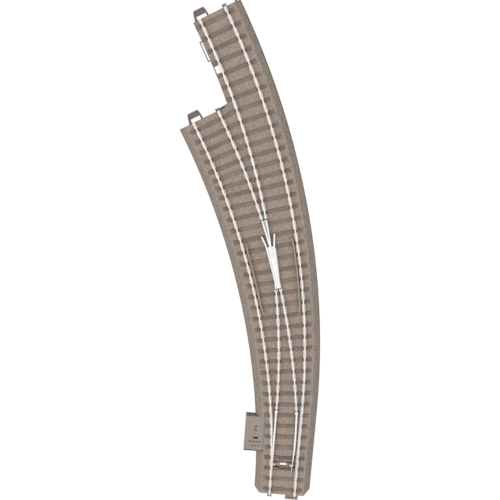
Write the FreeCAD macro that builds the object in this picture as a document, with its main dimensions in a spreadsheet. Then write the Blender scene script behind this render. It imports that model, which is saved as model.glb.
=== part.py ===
import FreeCAD, Part
import math
import os
import re
import Sketcher

# Left-hand curved turnout for 16.5 mm gauge model track on a moulded ballast roadbed.
#
# Frame: the origin is the middle of the single-track (toe) end on the base plane, +Y runs along the
# straight lead of the outer branch, +X is to the right of it and +Z is up.  Both branches curve to
# the left on the same radius.  The inner branch curves from the toe about (-curve_radius, 0); the
# outer branch is straight for lead_length and then curves about (-curve_radius, lead_length).
# At rest the left blade lies against its stock rail, so the outer branch is set.

SIZES = (
    # track plan
    ("curve_radius", 515.0, "centre-line radius of both branches"),
    ("curve_angle", 30.0, "angle each branch turns through, degrees"),
    ("lead_length", 64.3, "straight part of the outer branch"),
    ("gauge", 16.5, "distance between the inner faces of the rail heads"),
    # rail section
    ("head_width", 1.0, "rail head width"),
    ("head_depth", 0.8, "rail head depth"),
    ("head_bevel", 0.15, "bevel on the running edges"),
    ("web_width", 0.5, "rail web thickness"),
    ("foot_width", 2.1, "rail foot width"),
    ("foot_depth", 0.4, "rail foot thickness"),
    # heights above the base plane
    ("rail_top", 10.3, "running surface"),
    ("tie_top", 8.0, "top of the ties, where the rails sit"),
    ("deck_top", 7.2, "ballast surface between the ties"),
    ("deck_under", 6.0, "underside of the deck"),
    ("skirt_top", 2.4, "where the ballast slope meets the vertical skirt"),
    # roadbed
    ("bed_half", 19.4, "half width at the foot"),
    ("shoulder_half", 15.0, "half width of the flat top"),
    ("wall", 1.5, "wall thickness of the moulding"),
    ("cut_half", 13.4, "outer branch, half width on its cut-off side"),
    # ties
    ("tie_width", 2.7, "tie width"),
    ("tie_length", 27.0, "tie length"),
    # switch blades
    ("heel_y", 62.2, "blade pivots"),
    ("heel_right_x", 5.04, "right blade pivot, on the inner branch's right rail"),
    ("tip_y", 15.5, "blade tips"),
    ("blade_bottom", 8.42, "underside of the blades"),
    ("blade_width", 1.2, "width of a blade before it is planed"),
    ("blade_swing", 4.0, "blade swing between its two positions, degrees"),
    ("ear_depth", 0.5, "thickness of the ear that carries the drive pin"),
    ("heel_boss", 1.1, "radius of the blade heel"),
    ("pin_radius", 0.5, "heel and drive pin radius"),
    ("running_gap", 0.05, "radial clearance of the moving fits"),
    # throw bar
    ("bar_y", 22.9, "throw bar centre line"),
    ("bar_width", 2.6, "throw bar width"),
    ("bar_half", 7.4, "throw bar half length"),
    ("bar_shift", 0.7, "throw bar middle at rest, left of the origin"),
    ("bar_bottom", 6.3, "throw bar underside"),
    ("bar_depth", 1.6, "throw bar thickness"),
    ("lens_half", 5.8, "throw bar, half length of its wide middle"),
    ("lens_width", 4.2, "throw bar, width at the middle"),
    ("bar_slot_length", 4.4, "throw bar, length of the slot in its middle"),
    ("bar_slot_width", 2.3, "throw bar, width of that slot"),
    ("arm_bottom", 4.3, "underside of the arm that carries the throw bar's pull under the deck"),
    ("arm_end_x", -4.8, "right-hand end of the arm, where it rises to the throw bar"),
    ("riser_width", 1.8, "width of that rise"),
    ("link_x", -11.6, "post that joins the arm to the drive slide"),
    ("link_width", 2.4, "width of that post"),
    ("throw", 2.74, "throw bar travel"),
    ("left_pin_x", -7.5, "left drive pin at rest"),
    ("right_pin_x", 4.4, "right drive pin at rest"),
    # crossing
    ("frog_front_x", -14.0, "middle of the crossing's front face"),
    ("frog_front_y", 149.0, "middle of the crossing's front face"),
    ("frog_tilt", 15.7, "heading of the crossing, degrees"),
    ("frog_length", 46.7, "length of the crossing casting"),
    ("frog_floor", 9.6, "floor of the flangeways"),
    ("wing_flange", 0.45, "width of the low flange outside the right wing rail"),
    ("flange_drop", 0.5, "how far that flange lies below the running surface"),
    ("flangeway", 1.35, "clear width between a wing rail and the vee"),
    ("joint_width", 0.5, "thickness of the insulating joints"),
    # guard rails
    ("guard_offset", 6.3, "guard rail centre line from the branch centre line"),
    ("guard_start", 138.6, "guard rails begin, along each branch"),
    ("guard_end", 178.0, "guard rails end, along each branch"),
    # lever box
    ("box_left", 29.2, "outer wall of the lever box, left of the origin"),
    ("box_front", 30.8, "front wall of the lever box"),
    ("box_back", 56.3, "back wall of the lever box"),
    ("box_top", 6.6, "top of the lever box"),
    ("box_wall", 1.2, "wall and roof of the lever box"),
    ("box_inner_edge", 15.7, "right-hand edge of the lever box's flat top, left of the origin"),
    ("lever_x", -21.8, "lever pivot"),
    ("lever_y", 47.5, "lever pivot"),
    ("lever_arm", 7.0, "pivot to knob"),
    ("slide_bottom", 1.85, "drive slide underside"),
    ("slide_depth", 1.4, "drive slide thickness"),
    ("cover_bottom", 0.8, "mechanism cover underside"),
    ("cover_depth", 1.0, "mechanism cover thickness"),
    # end fittings
    ("loop_reach", 6.5, "coupling loop, how far it stands out"),
    ("loop_top", 2.4, "coupling loop, upper face"),
    ("loop_depth", 1.8, "coupling loop, thickness"),
    ("joiner_reach", 1.8, "rail joiner, how far it stands out"),
)

os.makedirs("parts", exist_ok=True)
doc = FreeCAD.newDocument("turnout")
sheet = doc.addObject("Spreadsheet::Sheet", "sizes")
for row, (alias, value, note) in enumerate(SIZES, start=1):
    sheet.set(f"A{row}", note)
    sheet.set(f"B{row}", str(value))
    sheet.setAlias(f"B{row}", alias)
doc.recompute()

ALIASES = {alias for alias, value, note in SIZES}
RAIL_OFFSET = "(gauge + head_width) / 2"
LEFT = f"(curve_radius - {RAIL_OFFSET})"
RIGHT = f"(curve_radius + {RAIL_OFFSET})"
INNER = "0"
OUTER = "lead_length"
NODES = []


# ---------------------------------------------------------------- helpers

def formula(text):
    """Turn a formula written with plain size names into a sheet expression."""
    return re.sub(r"[a-z_]+", lambda word: f"sizes.{word[0]}" if word[0] in ALIASES else word[0], str(text))


def value_of(text):
    """The present value of a formula, as a plain number."""
    result = sheet.evalExpression(formula(text))
    return float(getattr(result, "Value", result))


def bind(thing, **settings):
    """Bind properties of an object to formulas."""
    for name, text in settings.items():
        thing.setExpression(name, formula(text))
    return thing


def place(thing, x="0", y="0", z="0", turn="0"):
    """Bind an object's placement: a position and a turn about +Z in degrees."""
    thing.Placement = FreeCAD.Placement(FreeCAD.Vector(), FreeCAD.Rotation(FreeCAD.Vector(0, 0, 1), 1))
    thing.setExpression("Placement.Base.x", formula(x))
    thing.setExpression("Placement.Base.y", formula(y))
    thing.setExpression("Placement.Base.z", formula(z))
    thing.setExpression("Placement.Rotation.Angle", formula(turn))
    return thing


def node(thing, label):
    """Register a finished sub-part under the name of its file."""
    thing.Label = label
    NODES.append(thing)
    return thing


def new_body(name, **where):
    return place(doc.addObject("PartDesign::Body", name), **where)


def sketch_on(body, name, role, corners, lift="0"):
    """Closed outline of straight edges on a body's origin plane; corners are pairs of formulas."""
    plane = next(item for item in body.Origin.OriginFeatures if item.Role == role)
    sketch = body.newObject("Sketcher::SketchObject", name)
    sketch.AttachmentSupport = (plane, "")
    sketch.MapMode = "FlatFace"
    sketch.setExpression("AttachmentOffset.Base.z", formula(lift))
    points = [FreeCAD.Vector(value_of(x), value_of(y), 0) for x, y in corners]
    count = len(points)
    for index in range(count):
        sketch.addGeometry(Part.LineSegment(points[index], points[(index + 1) % count]))
    for index in range(count):
        sketch.addConstraint(Sketcher.Constraint("Coincident", index, 2, (index + 1) % count, 1))
    for index, (x, y) in enumerate(corners):
        for kind, text, size in (("DistanceX", x, points[index].x), ("DistanceY", y, points[index].y)):
            number = sketch.addConstraint(Sketcher.Constraint(kind, -1, 1, index, 1, size))
            sketch.setExpression(f"Constraints[{number}]", formula(text))
    sketch.Visibility = False
    return sketch


def pad(body, name, sketch, length, reverse=False):
    feature = body.newObject("PartDesign::Pad", name)
    feature.Profile = sketch
    feature.Reversed = reverse
    return bind(feature, Length=length)


def pocket(body, name, sketch, length, reverse=False):
    feature = body.newObject("PartDesign::Pocket", name)
    feature.Profile = sketch
    feature.Reversed = reverse
    return bind(feature, Length=length)


def revolve(body, name, sketch, angle):
    feature = body.newObject("PartDesign::Revolution", name)
    feature.Profile = sketch
    feature.ReferenceAxis = (sketch, ["V_Axis"])
    return bind(feature, Angle=angle)


def prism(name, corners, bottom, height, **where):
    """Body padded upward from a straight-edged outline."""
    body = new_body(name, **where)
    outline = sketch_on(body, f"{name}_outline", "XY_Plane", corners, lift=bottom)
    pad(body, f"{name}_pad", outline, height)
    return body


def box(name, size, **where):
    """Block centred on its placement in X and Y, standing on it in Z."""
    length, width, height = size
    block = bind(doc.addObject("Part::Box", name), Length=length, Width=width, Height=height)
    x, y = where.pop("x", "0"), where.pop("y", "0")
    turn = where.get("turn", "0")
    centre_x = f"({x}) - ({length}) / 2 * cos(({turn}) * 1 deg) + ({width}) / 2 * sin(({turn}) * 1 deg)"
    centre_y = f"({y}) - ({length}) / 2 * sin(({turn}) * 1 deg) - ({width}) / 2 * cos(({turn}) * 1 deg)"
    return place(block, x=centre_x, y=centre_y, **where)


def cylinder(name, radius, height, **where):
    return place(bind(doc.addObject("Part::Cylinder", name), Radius=radius, Height=height), **where)


def fuse(name, shapes):
    union = doc.addObject("Part::MultiFuse", name)
    union.Shapes = shapes
    return union


def cut(name, base, tool):
    difference = doc.addObject("Part::Cut", name)
    difference.Base = base
    difference.Tool = tool
    return difference


def common(name, first, second):
    overlap = doc.addObject("Part::Common", name)
    overlap.Base = first
    overlap.Tool = second
    return overlap


def compound(name, links):
    group = doc.addObject("Part::Compound", name)
    group.Links = links
    return group


def on_branch(branch, distance, offset):
    """Position formulas and heading at a distance along a branch, offset to the right of it."""
    turned = f"(({distance}) - {branch}) / curve_radius"
    x = f"(curve_radius + ({offset})) * cos({turned} * 1 rad) - curve_radius"
    y = f"{branch} + (curve_radius + ({offset})) * sin({turned} * 1 rad)"
    return {"x": x, "y": y, "turn": f"{turned} * 180 / pi"}


def sweep(name, section, branch, start="0", angle="curve_angle", lead=None):
    """Body with one section carried round a branch's arc, and back along its straight lead.

    The section is drawn in the XZ plane with X as the distance from the arc's centre.
    """
    body = new_body(name, x="-curve_radius", y=branch, turn=start)
    outline = sketch_on(body, f"{name}_section", "XZ_Plane", section)
    revolve(body, f"{name}_arc", outline, angle)
    if lead:
        pad(body, f"{name}_lead", outline, lead)
    return body


def across_y(branch, radius, along):
    """Angle about a branch's centre at which a rail of the given radius reaches a given Y."""
    return f"asin((({along}) - {branch}) / {radius}) / 1 deg"


# ---------------------------------------------------------------- sections

def mirrored(radius, half):
    """Whole section from its right-hand half, given as distances from a radius and heights."""
    right = [(f"{radius} + ({x})", z) for x, z in half]
    left = [(f"{radius} - ({x})", z) for x, z in reversed(half)]
    return right + left


def rail_section(radius):
    """Flat-bottomed rail."""
    return mirrored(radius, (
        ("foot_width / 2", "tie_top"),
        ("foot_width / 2", "tie_top + foot_depth"),
        ("web_width / 2", "tie_top + foot_depth"),
        ("web_width / 2", "rail_top - head_depth"),
        ("head_width / 2", "rail_top - head_depth"),
        ("head_width / 2", "rail_top - head_bevel"),
        ("head_width / 2 - head_bevel", "rail_top"),
    ))


def bank_section():
    """Outside of the ballast bank."""
    return mirrored("curve_radius", (
        ("bed_half", "0"),
        ("bed_half", "skirt_top"),
        ("shoulder_half", "deck_top"),
    ))


def hollow_section():
    """Hollow under the ballast bank, open at the bottom."""
    return mirrored("curve_radius", (
        ("bed_half - wall", "-wall"),
        ("bed_half - wall", "skirt_top - wall / 2"),
        ("shoulder_half - wall / 2", "deck_under"),
    ))


def block_section(left, right, bottom, top):
    """Rectangle between two distances from the arc's centre."""
    return [(left, bottom), (right, bottom), (right, top), (left, top)]


# ---------------------------------------------------------------- roadbed

TIE_COUNT_INNER = 35
TIE_COUNT_OUTER = 42
SHARED_TIES = 29
FIRST_TIE = 4.0
PITCH_INNER = (7.85, 6.6, 7.2)
PITCH_OUTER = (7.95, 7.43, 8.22)
LAST_INNER_STEP = 30
LAST_OUTER_STEP = 32
TIE_LEAN = 0.4
PARTED = 17.0
TIE_ROOT = 0.6
TIE_OVERLAP = 0.8
TIE_INSET = 0.2


def branch_point(branch_start, distance, offset=0.0):
    """Point and heading (radians) at a distance along a branch, offset to the right of it."""
    radius = value_of("curve_radius")
    turned = max(0.0, distance - branch_start) / radius
    straight = min(distance, branch_start)
    x = (radius + offset) * math.cos(turned) - radius
    y = straight + (radius + offset) * math.sin(turned)
    return FreeCAD.Vector(x, y, 0), turned


def tie_row(count, pitches, last_step):
    """Distances of a row of ties: one pitch on the shared planks, a second up to a step, then a third."""
    last_shared = SHARED_TIES - 2
    distances = []
    for k in range(count):
        middle = min(max(0, k - last_shared), last_step - last_shared)
        far = max(0, k - last_step)
        distances.append(FIRST_TIE + pitches[0] * min(k, last_shared) + pitches[1] * middle + pitches[2] * far)
    return distances


def tie_distances():
    """Distances of the tie centres along the inner and the outer branch."""
    return (tie_row(TIE_COUNT_INNER, PITCH_INNER, LAST_INNER_STEP),
            tie_row(TIE_COUNT_OUTER, PITCH_OUTER, LAST_OUTER_STEP))


def plank(left, right):
    """Tie between two points on the deck."""
    along = right - left
    width = value_of("tie_width")
    bottom = value_of("deck_top") - TIE_ROOT
    block = Part.makeBox(along.Length, width, value_of("tie_top") - bottom)
    block.translate(FreeCAD.Vector(0, -width / 2, bottom))
    block.rotate(FreeCAD.Vector(), FreeCAD.Vector(0, 0, 1), math.degrees(math.atan2(along.y, along.x)))
    block.translate(FreeCAD.Vector(left.x, left.y, 0))
    return block


def make_ties():
    """Shared planks up to the parting of the branches, then a row of ties on each branch."""
    inner, outer = tie_distances()
    half = value_of("tie_length") / 2
    lead = value_of("lead_length")
    planks = []
    for k in range(TIE_COUNT_OUTER):
        outer_point, outer_turn = branch_point(lead, outer[k])
        outer_side = FreeCAD.Vector(math.cos(outer_turn), math.sin(outer_turn), 0)
        if k >= TIE_COUNT_INNER:
            reach = value_of("cut_half") - TIE_INSET
            planks.append(plank(outer_point - outer_side * reach, outer_point + outer_side * half))
            continue
        inner_point, inner_turn = branch_point(0.0, inner[k])
        inner_side = FreeCAD.Vector(math.cos(inner_turn), math.sin(inner_turn), 0)
        if k < SHARED_TIES:
            lean = TIE_LEAN * inner_turn + (1 - TIE_LEAN) * outer_turn
            across = FreeCAD.Vector(math.cos(lean), math.sin(lean), 0)
            apart = outer_point - inner_point
            if apart.Length > PARTED:
                across = apart / apart.Length
            planks.append(plank(inner_point - across * half, outer_point + across * half))
        else:
            meet = (outer_point - inner_point).Length / 2 + TIE_OVERLAP
            planks.append(plank(inner_point - inner_side * half, inner_point + inner_side * meet))
            planks.append(plank(outer_point - outer_side * meet, outer_point + outer_side * half))
    ties = doc.addObject("Part::Feature", "ties")
    ties.Shape = planks[0].multiFuse(planks[1:])
    return ties


def beyond_inner_end(name, inset):
    """Everything past the end of the inner branch, or past a plane a little before it."""
    spot = on_branch(INNER, f"curve_radius * curve_angle * pi / 180 + bed_half * 3 - ({inset})", "0")
    return box(name, ("bed_half * 8", "bed_half * 6", "rail_top * 2"), z="-rail_top / 2", **spot)


# bevelled corners of the toe end: side of the track, width across the bank, length along it
TOE_CORNERS = (("left", -1, 3.0, 2.5), ("right", 1, 4.2, 3.4))
CORNER_BLOCK = 8.0


def toe_corners(prefix, inset):
    """Blocks outside the bevels of the toe corners, moved inwards by a formula's length."""
    blocks = []
    for name, side, across, along in TOE_CORNERS:
        length = math.hypot(across, along)
        shift = f"({CORNER_BLOCK / 2} - {inset})"
        blocks.append(box(f"{prefix}_{name}", ("bed_half", CORNER_BLOCK, "rail_top * 2"),
                          x=f"{side} * (bed_half - {across / 2} + {shift} * {along / length})",
                          y=f"{along / 2} - {shift} * {across / length}", z="-rail_top / 2",
                          turn=f"{side} * atan({along} / {across}) / 1 deg"))
    return blocks


def make_bank():
    """Hollow ballast bank of both branches with the outer branch cut back past the inner end."""
    banks = [sweep("bank_outer", bank_section(), OUTER, lead="lead_length"),
             sweep("bank_inner", bank_section(), INNER)]
    hollows = [sweep("hollow_outer", hollow_section(), OUTER, lead="lead_length"),
               sweep("hollow_inner", hollow_section(), INNER)]
    trims = {}
    for name, limit in (("bank", "cut_half"), ("hollow", "cut_half - wall")):
        strip = sweep(f"{name}_trim", block_section("curve_radius - bed_half * 2", f"curve_radius - ({limit})",
                                                    "-rail_top / 2", "rail_top"), OUTER)
        inset = "0" if name == "bank" else "wall"
        trims[name] = common(f"{name}_trim_past_end", strip, beyond_inner_end(f"{name}_past_end", inset))
    outer_bank = cut("outer_bank", banks[0], trims["bank"])
    outer_hollow = cut("outer_hollow", hollows[0], trims["hollow"])
    # end walls: the hollows stop one wall short of the three ends
    stops = [
        box("toe_stop", ("bed_half * 3", "wall * 2", "rail_top * 2"), z="-rail_top / 2"),
        box("outer_stop", ("bed_half * 3", "wall * 2", "rail_top * 2"), z="-rail_top / 2",
            **on_branch(OUTER, "lead_length + curve_radius * curve_angle * pi / 180", "0")),
    ]
    inner_stop = beyond_inner_end("inner_stop", "wall")
    inner_hollow = cut("inner_hollow", hollows[1], inner_stop)
    stops += toe_corners("toe_corner_stop", "wall")
    hollow = cut("hollow", fuse("hollows", [outer_hollow, inner_hollow]), fuse("stops", stops))
    bank = cut("bevelled_banks", fuse("both_banks", [outer_bank, banks[1]]),
               fuse("toe_corners", toe_corners("toe_corner", "0")))
    return bank, hollow


END_PLACES = {
    "toe": {"turn": "180"},
    "inner": on_branch(INNER, "curve_radius * curve_angle * pi / 180", "0"),
    "outer": on_branch(OUTER, "lead_length + curve_radius * curve_angle * pi / 180", "0"),
}
LOOP_OUTLINE = (("-2.5", "-wall"), ("-2.9", "loop_reach - 2"), ("-3.7", "loop_reach"), ("-10.5", "loop_reach"),
                ("-11.6", "loop_reach - 2.6"), ("-12.6", "-wall"))
LOOP_OPENING = (("-3.8", "0"), ("-3.8", "2.6"), ("-10.4", "2.6"), ("-10.7", "0"))
LOOP_RECESS = (("-4", "3.4"), ("-4.3", "loop_reach - 0.6"), ("-10.3", "loop_reach - 0.6"), ("-10.7", "3.4"))
TAB_OUTLINE = (("-2.6", "-wall"), ("-2.6", "loop_reach - 1"), ("-3", "loop_reach - 0.6"),
               ("-11.3", "loop_reach - 0.6"), ("-11.7", "loop_reach - 1"), ("-11.7", "-wall"))
TAB_RECESS = (("-3.8", "0.8"), ("-3.8", "loop_reach - 1.7"), ("-10.5", "loop_reach - 1.7"), ("-10.5", "0.8"))
RECESS_DEPTH = "0.6"


def end_fittings():
    """Coupling pieces on the left of each end looking outward: two open loops and a closed toe tab."""
    fittings = []
    for name, where in END_PLACES.items():
        closed = name == "toe"
        plate = prism(f"fitting_{name}", TAB_OUTLINE if closed else LOOP_OUTLINE, "loop_top - loop_depth",
                      "loop_depth", **where)
        cuts = [("recess", TAB_RECESS if closed else LOOP_RECESS, RECESS_DEPTH)]
        if not closed:
            cuts.append(("opening", LOOP_OPENING, "loop_depth"))
        for what, outline, depth in cuts:
            window = sketch_on(plate, f"fitting_{name}_{what}_outline", "XY_Plane", outline, lift="loop_top")
            pocket(plate, f"fitting_{name}_{what}", window, depth)
        fittings.append(plate)
    fittings.append(prism("outer_peg", (("15.9", "-wall"), ("15.9", "1.3"), ("17.3", "1.3"), ("17.3", "-wall")),
                          "loop_top - loop_depth", "loop_depth", **END_PLACES["outer"]))
    return fittings


def from_outer_end(back, offset):
    """Position on the outer branch at a distance back from its end."""
    return on_branch(OUTER, f"lead_length + curve_radius * curve_angle * pi / 180 - {back}", offset)


def edge_bracket():
    """Thin U-shaped bracket on the cut side of the outer branch."""
    outside = box("bracket_outside", ("2.5", "13.5", "2"), z="deck_top - 2.4",
                  **from_outer_end(BRACKET_BACK, "-cut_half - 0.5"))
    inside = box("bracket_inside", ("2", "12.3", "3"), z="deck_top - 2.9",
                 **from_outer_end(BRACKET_BACK, "-cut_half - 0.2"))
    return cut("edge_bracket", outside, inside)


BRACKET_BACK = "19.5"
WINDOW_BACK = "33.9"
BOSS_PLACES = (
    ("-box_left + 3.4", "box_front + 3.4", "box_top - box_wall"),
    ("-box_left + 3.4", "box_back - 3.4", "box_top - box_wall"),
    ("-8.0", "box_back - 4.5", "deck_under"),
)


def screw_bosses():
    """Posts under the deck that the mechanism cover is screwed to."""
    bosses = []
    for number, (x, y, roof) in enumerate(BOSS_PLACES):
        bosses.append(cylinder(f"boss_{number}", "1.5", f"{roof} - cover_bottom - cover_depth + 0.4",
                               x=x, y=y, z="cover_bottom + cover_depth"))
    return bosses


def slide_plates():
    """Low plates on the ties that the blades slide on, between each stock rail foot and the blade."""
    inner, outer = tie_distances()
    clear = value_of("foot_width") / 2 + 0.2
    height = value_of("blade_bottom - tie_top") - 0.02
    heel = value_of("heel_y")
    swing = math.radians(value_of("blade_swing"))
    plates = []
    for k in range(2, 8):
        y = outer[k]
        travel = swing * (heel - y)
        stock_left = math.sqrt(value_of(LEFT) ** 2 - y ** 2) - value_of("curve_radius")
        blade_right = math.sqrt(value_of(RIGHT) ** 2 - y ** 2) - value_of("curve_radius")
        spans = ((stock_left + clear, -value_of("gauge") / 2 + travel + 1.0),
                 (blade_right - travel - 1.5, value_of(RAIL_OFFSET) - clear))
        for left, right in spans:
            plate = Part.makeBox(right - left, value_of("tie_width") - 0.4, height)
            plate.translate(FreeCAD.Vector(left, y - value_of("tie_width") / 2 + 0.2, value_of("tie_top")))
            plates.append(plate)
    group = doc.addObject("Part::Feature", "slide_plates")
    group.Shape = Part.makeCompound(plates)
    return group


def throw_bar_channel():
    """Openings for the throw bar: a channel in a thickened deck, a window, and the way of its arm."""
    middle = "throw / 2 - bar_shift"
    floor = "bar_bottom - 0.1"
    return [
        box("bar_channel", ("bar_half * 2 + throw + 0.6", "bar_width + 0.4", "3"), x=middle, y="bar_y",
            z=floor),
        box("bar_middle_channel", ("lens_half * 2 + throw + 0.6", "lens_width + 0.4", "3"),
            x=middle, y="bar_y", z=floor),
        box("bar_window", ("5.6", "4", "6"), x="-0.8", y="bar_y - 0.7", z="bar_bottom - 3"),
        box("riser_opening", ("riser_width + throw + 0.6", "bar_width + 0.4", "6"),
            x="arm_end_x - riser_width / 2 + throw / 2", y="bar_y", z="bar_bottom - 3"),
        box("arm_way", ("arm_end_x - link_x + link_width + throw", "bar_width + 0.4", "deck_under - 3"),
            x="(arm_end_x + link_x + throw) / 2", y="bar_y", z="3"),
    ]


LEVER_BOX_RIGHT = "14"
GROOVE_DEPTH = 0.8
# rows of short grooves in the lever box roof: first X, Y, how many, spacing, length of each
GROOVE_ROWS = ((-25.2, 37.8, 4, 2.3, 1.6), (-23.2, 34.9, 3, 2.2, 1.3))
GROOVE_WIDTH = "1.1"


def box_ledge():
    """Roof and small step that carry the lever box's flat top in under the edge of the deck."""
    return box("box_ledge", ("4.8", "box_back - box_front", "box_wall + 0.2"),
               x="-box_inner_edge - 0.9", y="(box_front + box_back) / 2", z="box_top - box_wall")


def above_box():
    """Everything above the lever box's flat top."""
    return box("above_box", ("box_left", "box_back - box_front", "4"), x="-box_inner_edge - box_left / 2",
               y="(box_front + box_back) / 2", z="box_top")


def roof_grooves():
    """Shallow marks in the lever box roof: a seam along its front edge and two rows of short grooves."""
    bottom = f"box_top - {GROOVE_DEPTH}"
    marks = [box("front_seam", ("box_left - box_inner_edge - 0.5", "0.75", "2"), y="box_front + 0.6", z=bottom,
                 x="-(box_left + box_inner_edge) / 2")]
    for row, (x_first, y, count, pitch, length) in enumerate(GROOVE_ROWS):
        for k in range(count):
            marks.append(box(f"groove_{row}_{k}", (length, GROOVE_WIDTH, "2"), x=x_first + pitch * k, y=y,
                             z=bottom))
    return marks


def deck_holes():
    """Holes through the deck for the heel pins and the lugs of the feeder strips, and one window."""
    holes = [
        cylinder("heel_hole_left", "pin_radius", "4", x=f"-{RAIL_OFFSET}", y="heel_y", z="deck_under - 1"),
        cylinder("heel_hole_right", "pin_radius", "4", x="heel_right_x", y="heel_y", z="deck_under - 1"),
        box("edge_window", ("3.2", "6", "4"), z="deck_under - 1", **from_outer_end(WINDOW_BACK, "-11.2")),
        box("edge_notch", ("5", "6", "deck_top - 0.6"), z="-1", **from_outer_end(WINDOW_BACK, "-12.1")),
    ]
    for name, (radius_one, branch_one, radius_two, branch_two, y) in FEEDERS.items():
        for side, radius, branch in (("a", radius_one, branch_one), ("b", radius_two, branch_two)):
            holes.append(box(f"{name}_hole_{side}", ("1.3", "3.3", "4"), z="deck_under - 1",
                             **rail_spot(radius, branch, y)))
    return holes


def rail_spot(radius, branch, y):
    """Position and heading where a rail reaches a given Y."""
    turned = f"asin((({y}) - {branch}) / {radius})"
    return {"x": f"{radius} * cos({turned}) - curve_radius", "y": y, "turn": f"{turned} / 1 deg"}


# Feeder strips under the deck: each joins two rails of one polarity.
FEEDERS = {
    "feeder_left_front": (LEFT, INNER, LEFT, OUTER, "94.3"),
    "feeder_right_front": (RIGHT, INNER, RIGHT, OUTER, "110.1"),
    "feeder_left_rear": (LEFT, INNER, LEFT, OUTER, "205.0"),
    "feeder_right_rear": (RIGHT, INNER, RIGHT, OUTER, "214.0"),
}


def make_roadbed():
    """One moulding: bank, ties, lever box, coupling loops and everything moulded under the deck."""
    bank, hollow = make_bank()
    lever_box = box("lever_box", (f"box_left - {LEVER_BOX_RIGHT}", "box_back - box_front", "box_top"),
                    x=f"-(box_left + {LEVER_BOX_RIGHT}) / 2", y="(box_front + box_back) / 2")
    lever_hollow = box("lever_hollow",
                       (f"box_left - box_wall - {LEVER_BOX_RIGHT}", "box_back - box_front - box_wall * 2",
                        "box_top - box_wall + 1"),
                       x=f"-(box_left - box_wall + {LEVER_BOX_RIGHT}) / 2", y="(box_front + box_back) / 2",
                       z="-1")
    shell = cut("shell", fuse("banks_and_box", [bank, lever_box]), fuse("all_hollows", [hollow, lever_hollow]))
    bar_pad = box("bar_pad", ("bar_half * 2 + throw + 3", "bar_width + 5", "1.4"), x="throw / 2 - bar_shift",
                  y="bar_y", z="deck_under - 1.2")
    knob_slot = box("knob_slot", ("throw + 1.3", "1.5", "4"), x="lever_x", y="lever_y - lever_arm * 0.99",
                    z="box_top - 2")
    bush_hole = cylinder("bush_hole", "2.3", "4", x="lever_x", y="lever_y", z="box_top - 2")
    posts = []
    for side, x, roof in (("left", "-19", "(box_top - box_wall)"), ("right", "-8.5", "deck_under")):
        posts.append(cylinder(f"spring_post_{side}", "0.6", f"{roof} - slide_bottom", x=x, y="46.4",
                              z="slide_bottom + 0.1"))
    details = [bar_pad, make_ties(), slide_plates(), edge_bracket(), box_ledge()]
    solid = fuse("moulding", [shell] + details + end_fittings() + screw_bosses() + posts)
    for number, opening in enumerate(throw_bar_channel() + [above_box()]):
        solid = cut(f"carved_{number}", solid, opening)
    openings = deck_holes() + [knob_slot, bush_hole] + roof_grooves()
    for number, (x, y, roof) in enumerate(BOSS_PLACES):
        openings.append(cylinder(f"screw_hole_{number}", "0.6", "3.4", x=x, y=y, z="cover_bottom"))
    node(cut("roadbed_moulding", solid, fuse("openings", openings)), "roadbed")


# ---------------------------------------------------------------- rails

def make_running_rails():
    node(sweep("left_stock", rail_section(LEFT), INNER), "stock_rail_left")
    node(sweep("right_stock", rail_section(RIGHT), OUTER, lead="lead_length"), "stock_rail_right")
    heel_end = "heel_y + heel_boss + 0.3"
    node(sweep("left_closure", rail_section(LEFT), OUTER,
               angle=across_y(OUTER, LEFT, FROG_MEETS["left"]), lead=f"lead_length - ({heel_end})"),
         "closure_rail_left")
    start = across_y(INNER, RIGHT, heel_end)
    node(sweep("right_closure", rail_section(RIGHT), INNER, start=start,
               angle=f"{across_y(INNER, RIGHT, FROG_MEETS['right'])} - ({start})"), "closure_rail_right")
    start = across_y(INNER, RIGHT, FROG_MEETS["inner"])
    node(sweep("inner_branch", rail_section(RIGHT), INNER, start=start, angle=f"curve_angle - {start}"),
         "branch_rail_inner")
    start = across_y(OUTER, LEFT, FROG_MEETS["outer"])
    node(sweep("outer_branch", rail_section(LEFT), OUTER, start=start, angle=f"curve_angle - {start}"),
         "branch_rail_outer")


# Y at which each plain rail stops short of the crossing casting, by the thickness of its joint.
FROG_MEETS = {"left": "147.8", "right": "148.7", "inner": "194.1", "outer": "194.9"}


def make_insulating_joints():
    """Four plastic spacers, one on each rail end that meets the crossing casting."""
    thick = "joint_width / curve_radius * 180 / pi"
    ends = (("left", LEFT, OUTER, "0"), ("right", RIGHT, INNER, "0"),
            ("inner", RIGHT, INNER, thick), ("outer", LEFT, OUTER, thick))
    joints = []
    for name, radius, branch, back in ends:
        start = f"{across_y(branch, radius, FROG_MEETS[name])} - {back}"
        joints.append(sweep(f"joint_{name}", rail_section(radius), branch, start=start, angle=thick))
    node(compound("joints", joints), "insulating_joints")


def make_guard_rails():
    """Plastic check rails opposite the crossing, flared away from the running rail at both ends."""
    top = "rail_top - 0.1"
    for name, branch, side in (("left", INNER, "-"), ("right", OUTER, "+")):
        middle = f"curve_radius {side} guard_offset"
        start = f"(guard_start - {branch}) / curve_radius * 180 / pi"
        angle = "(guard_end - guard_start) / curve_radius * 180 / pi"
        section = block_section(f"{middle} - 0.5", f"{middle} + 0.5", "tie_top", top)
        parts = [sweep(f"guard_{name}", section, branch, start=start, angle=angle)]
        for end, along, lean in (("front", "guard_start - 2.6", "1"), ("back", "guard_end + 2.6", "-1")):
            spot = on_branch(branch, along, f"{side}(guard_offset - 0.35)")
            spot["turn"] = f"{spot['turn']} {side} 7 * {lean} * (-1)"
            parts.append(box(f"guard_{name}_{end}", ("1", "6", f"{top} - tie_top"), z="tie_top", **spot))
        node(fuse(f"guard_{name}_whole", parts), f"guard_rail_{name}")


# ---------------------------------------------------------------- crossing

def disc(name, radius, branch, top):
    """Large disc about a branch's centre; its rim is a rail edge."""
    return cylinder(name, radius, f"{top} - tie_top", x="-curve_radius", y=branch, z="tie_top")


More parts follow.
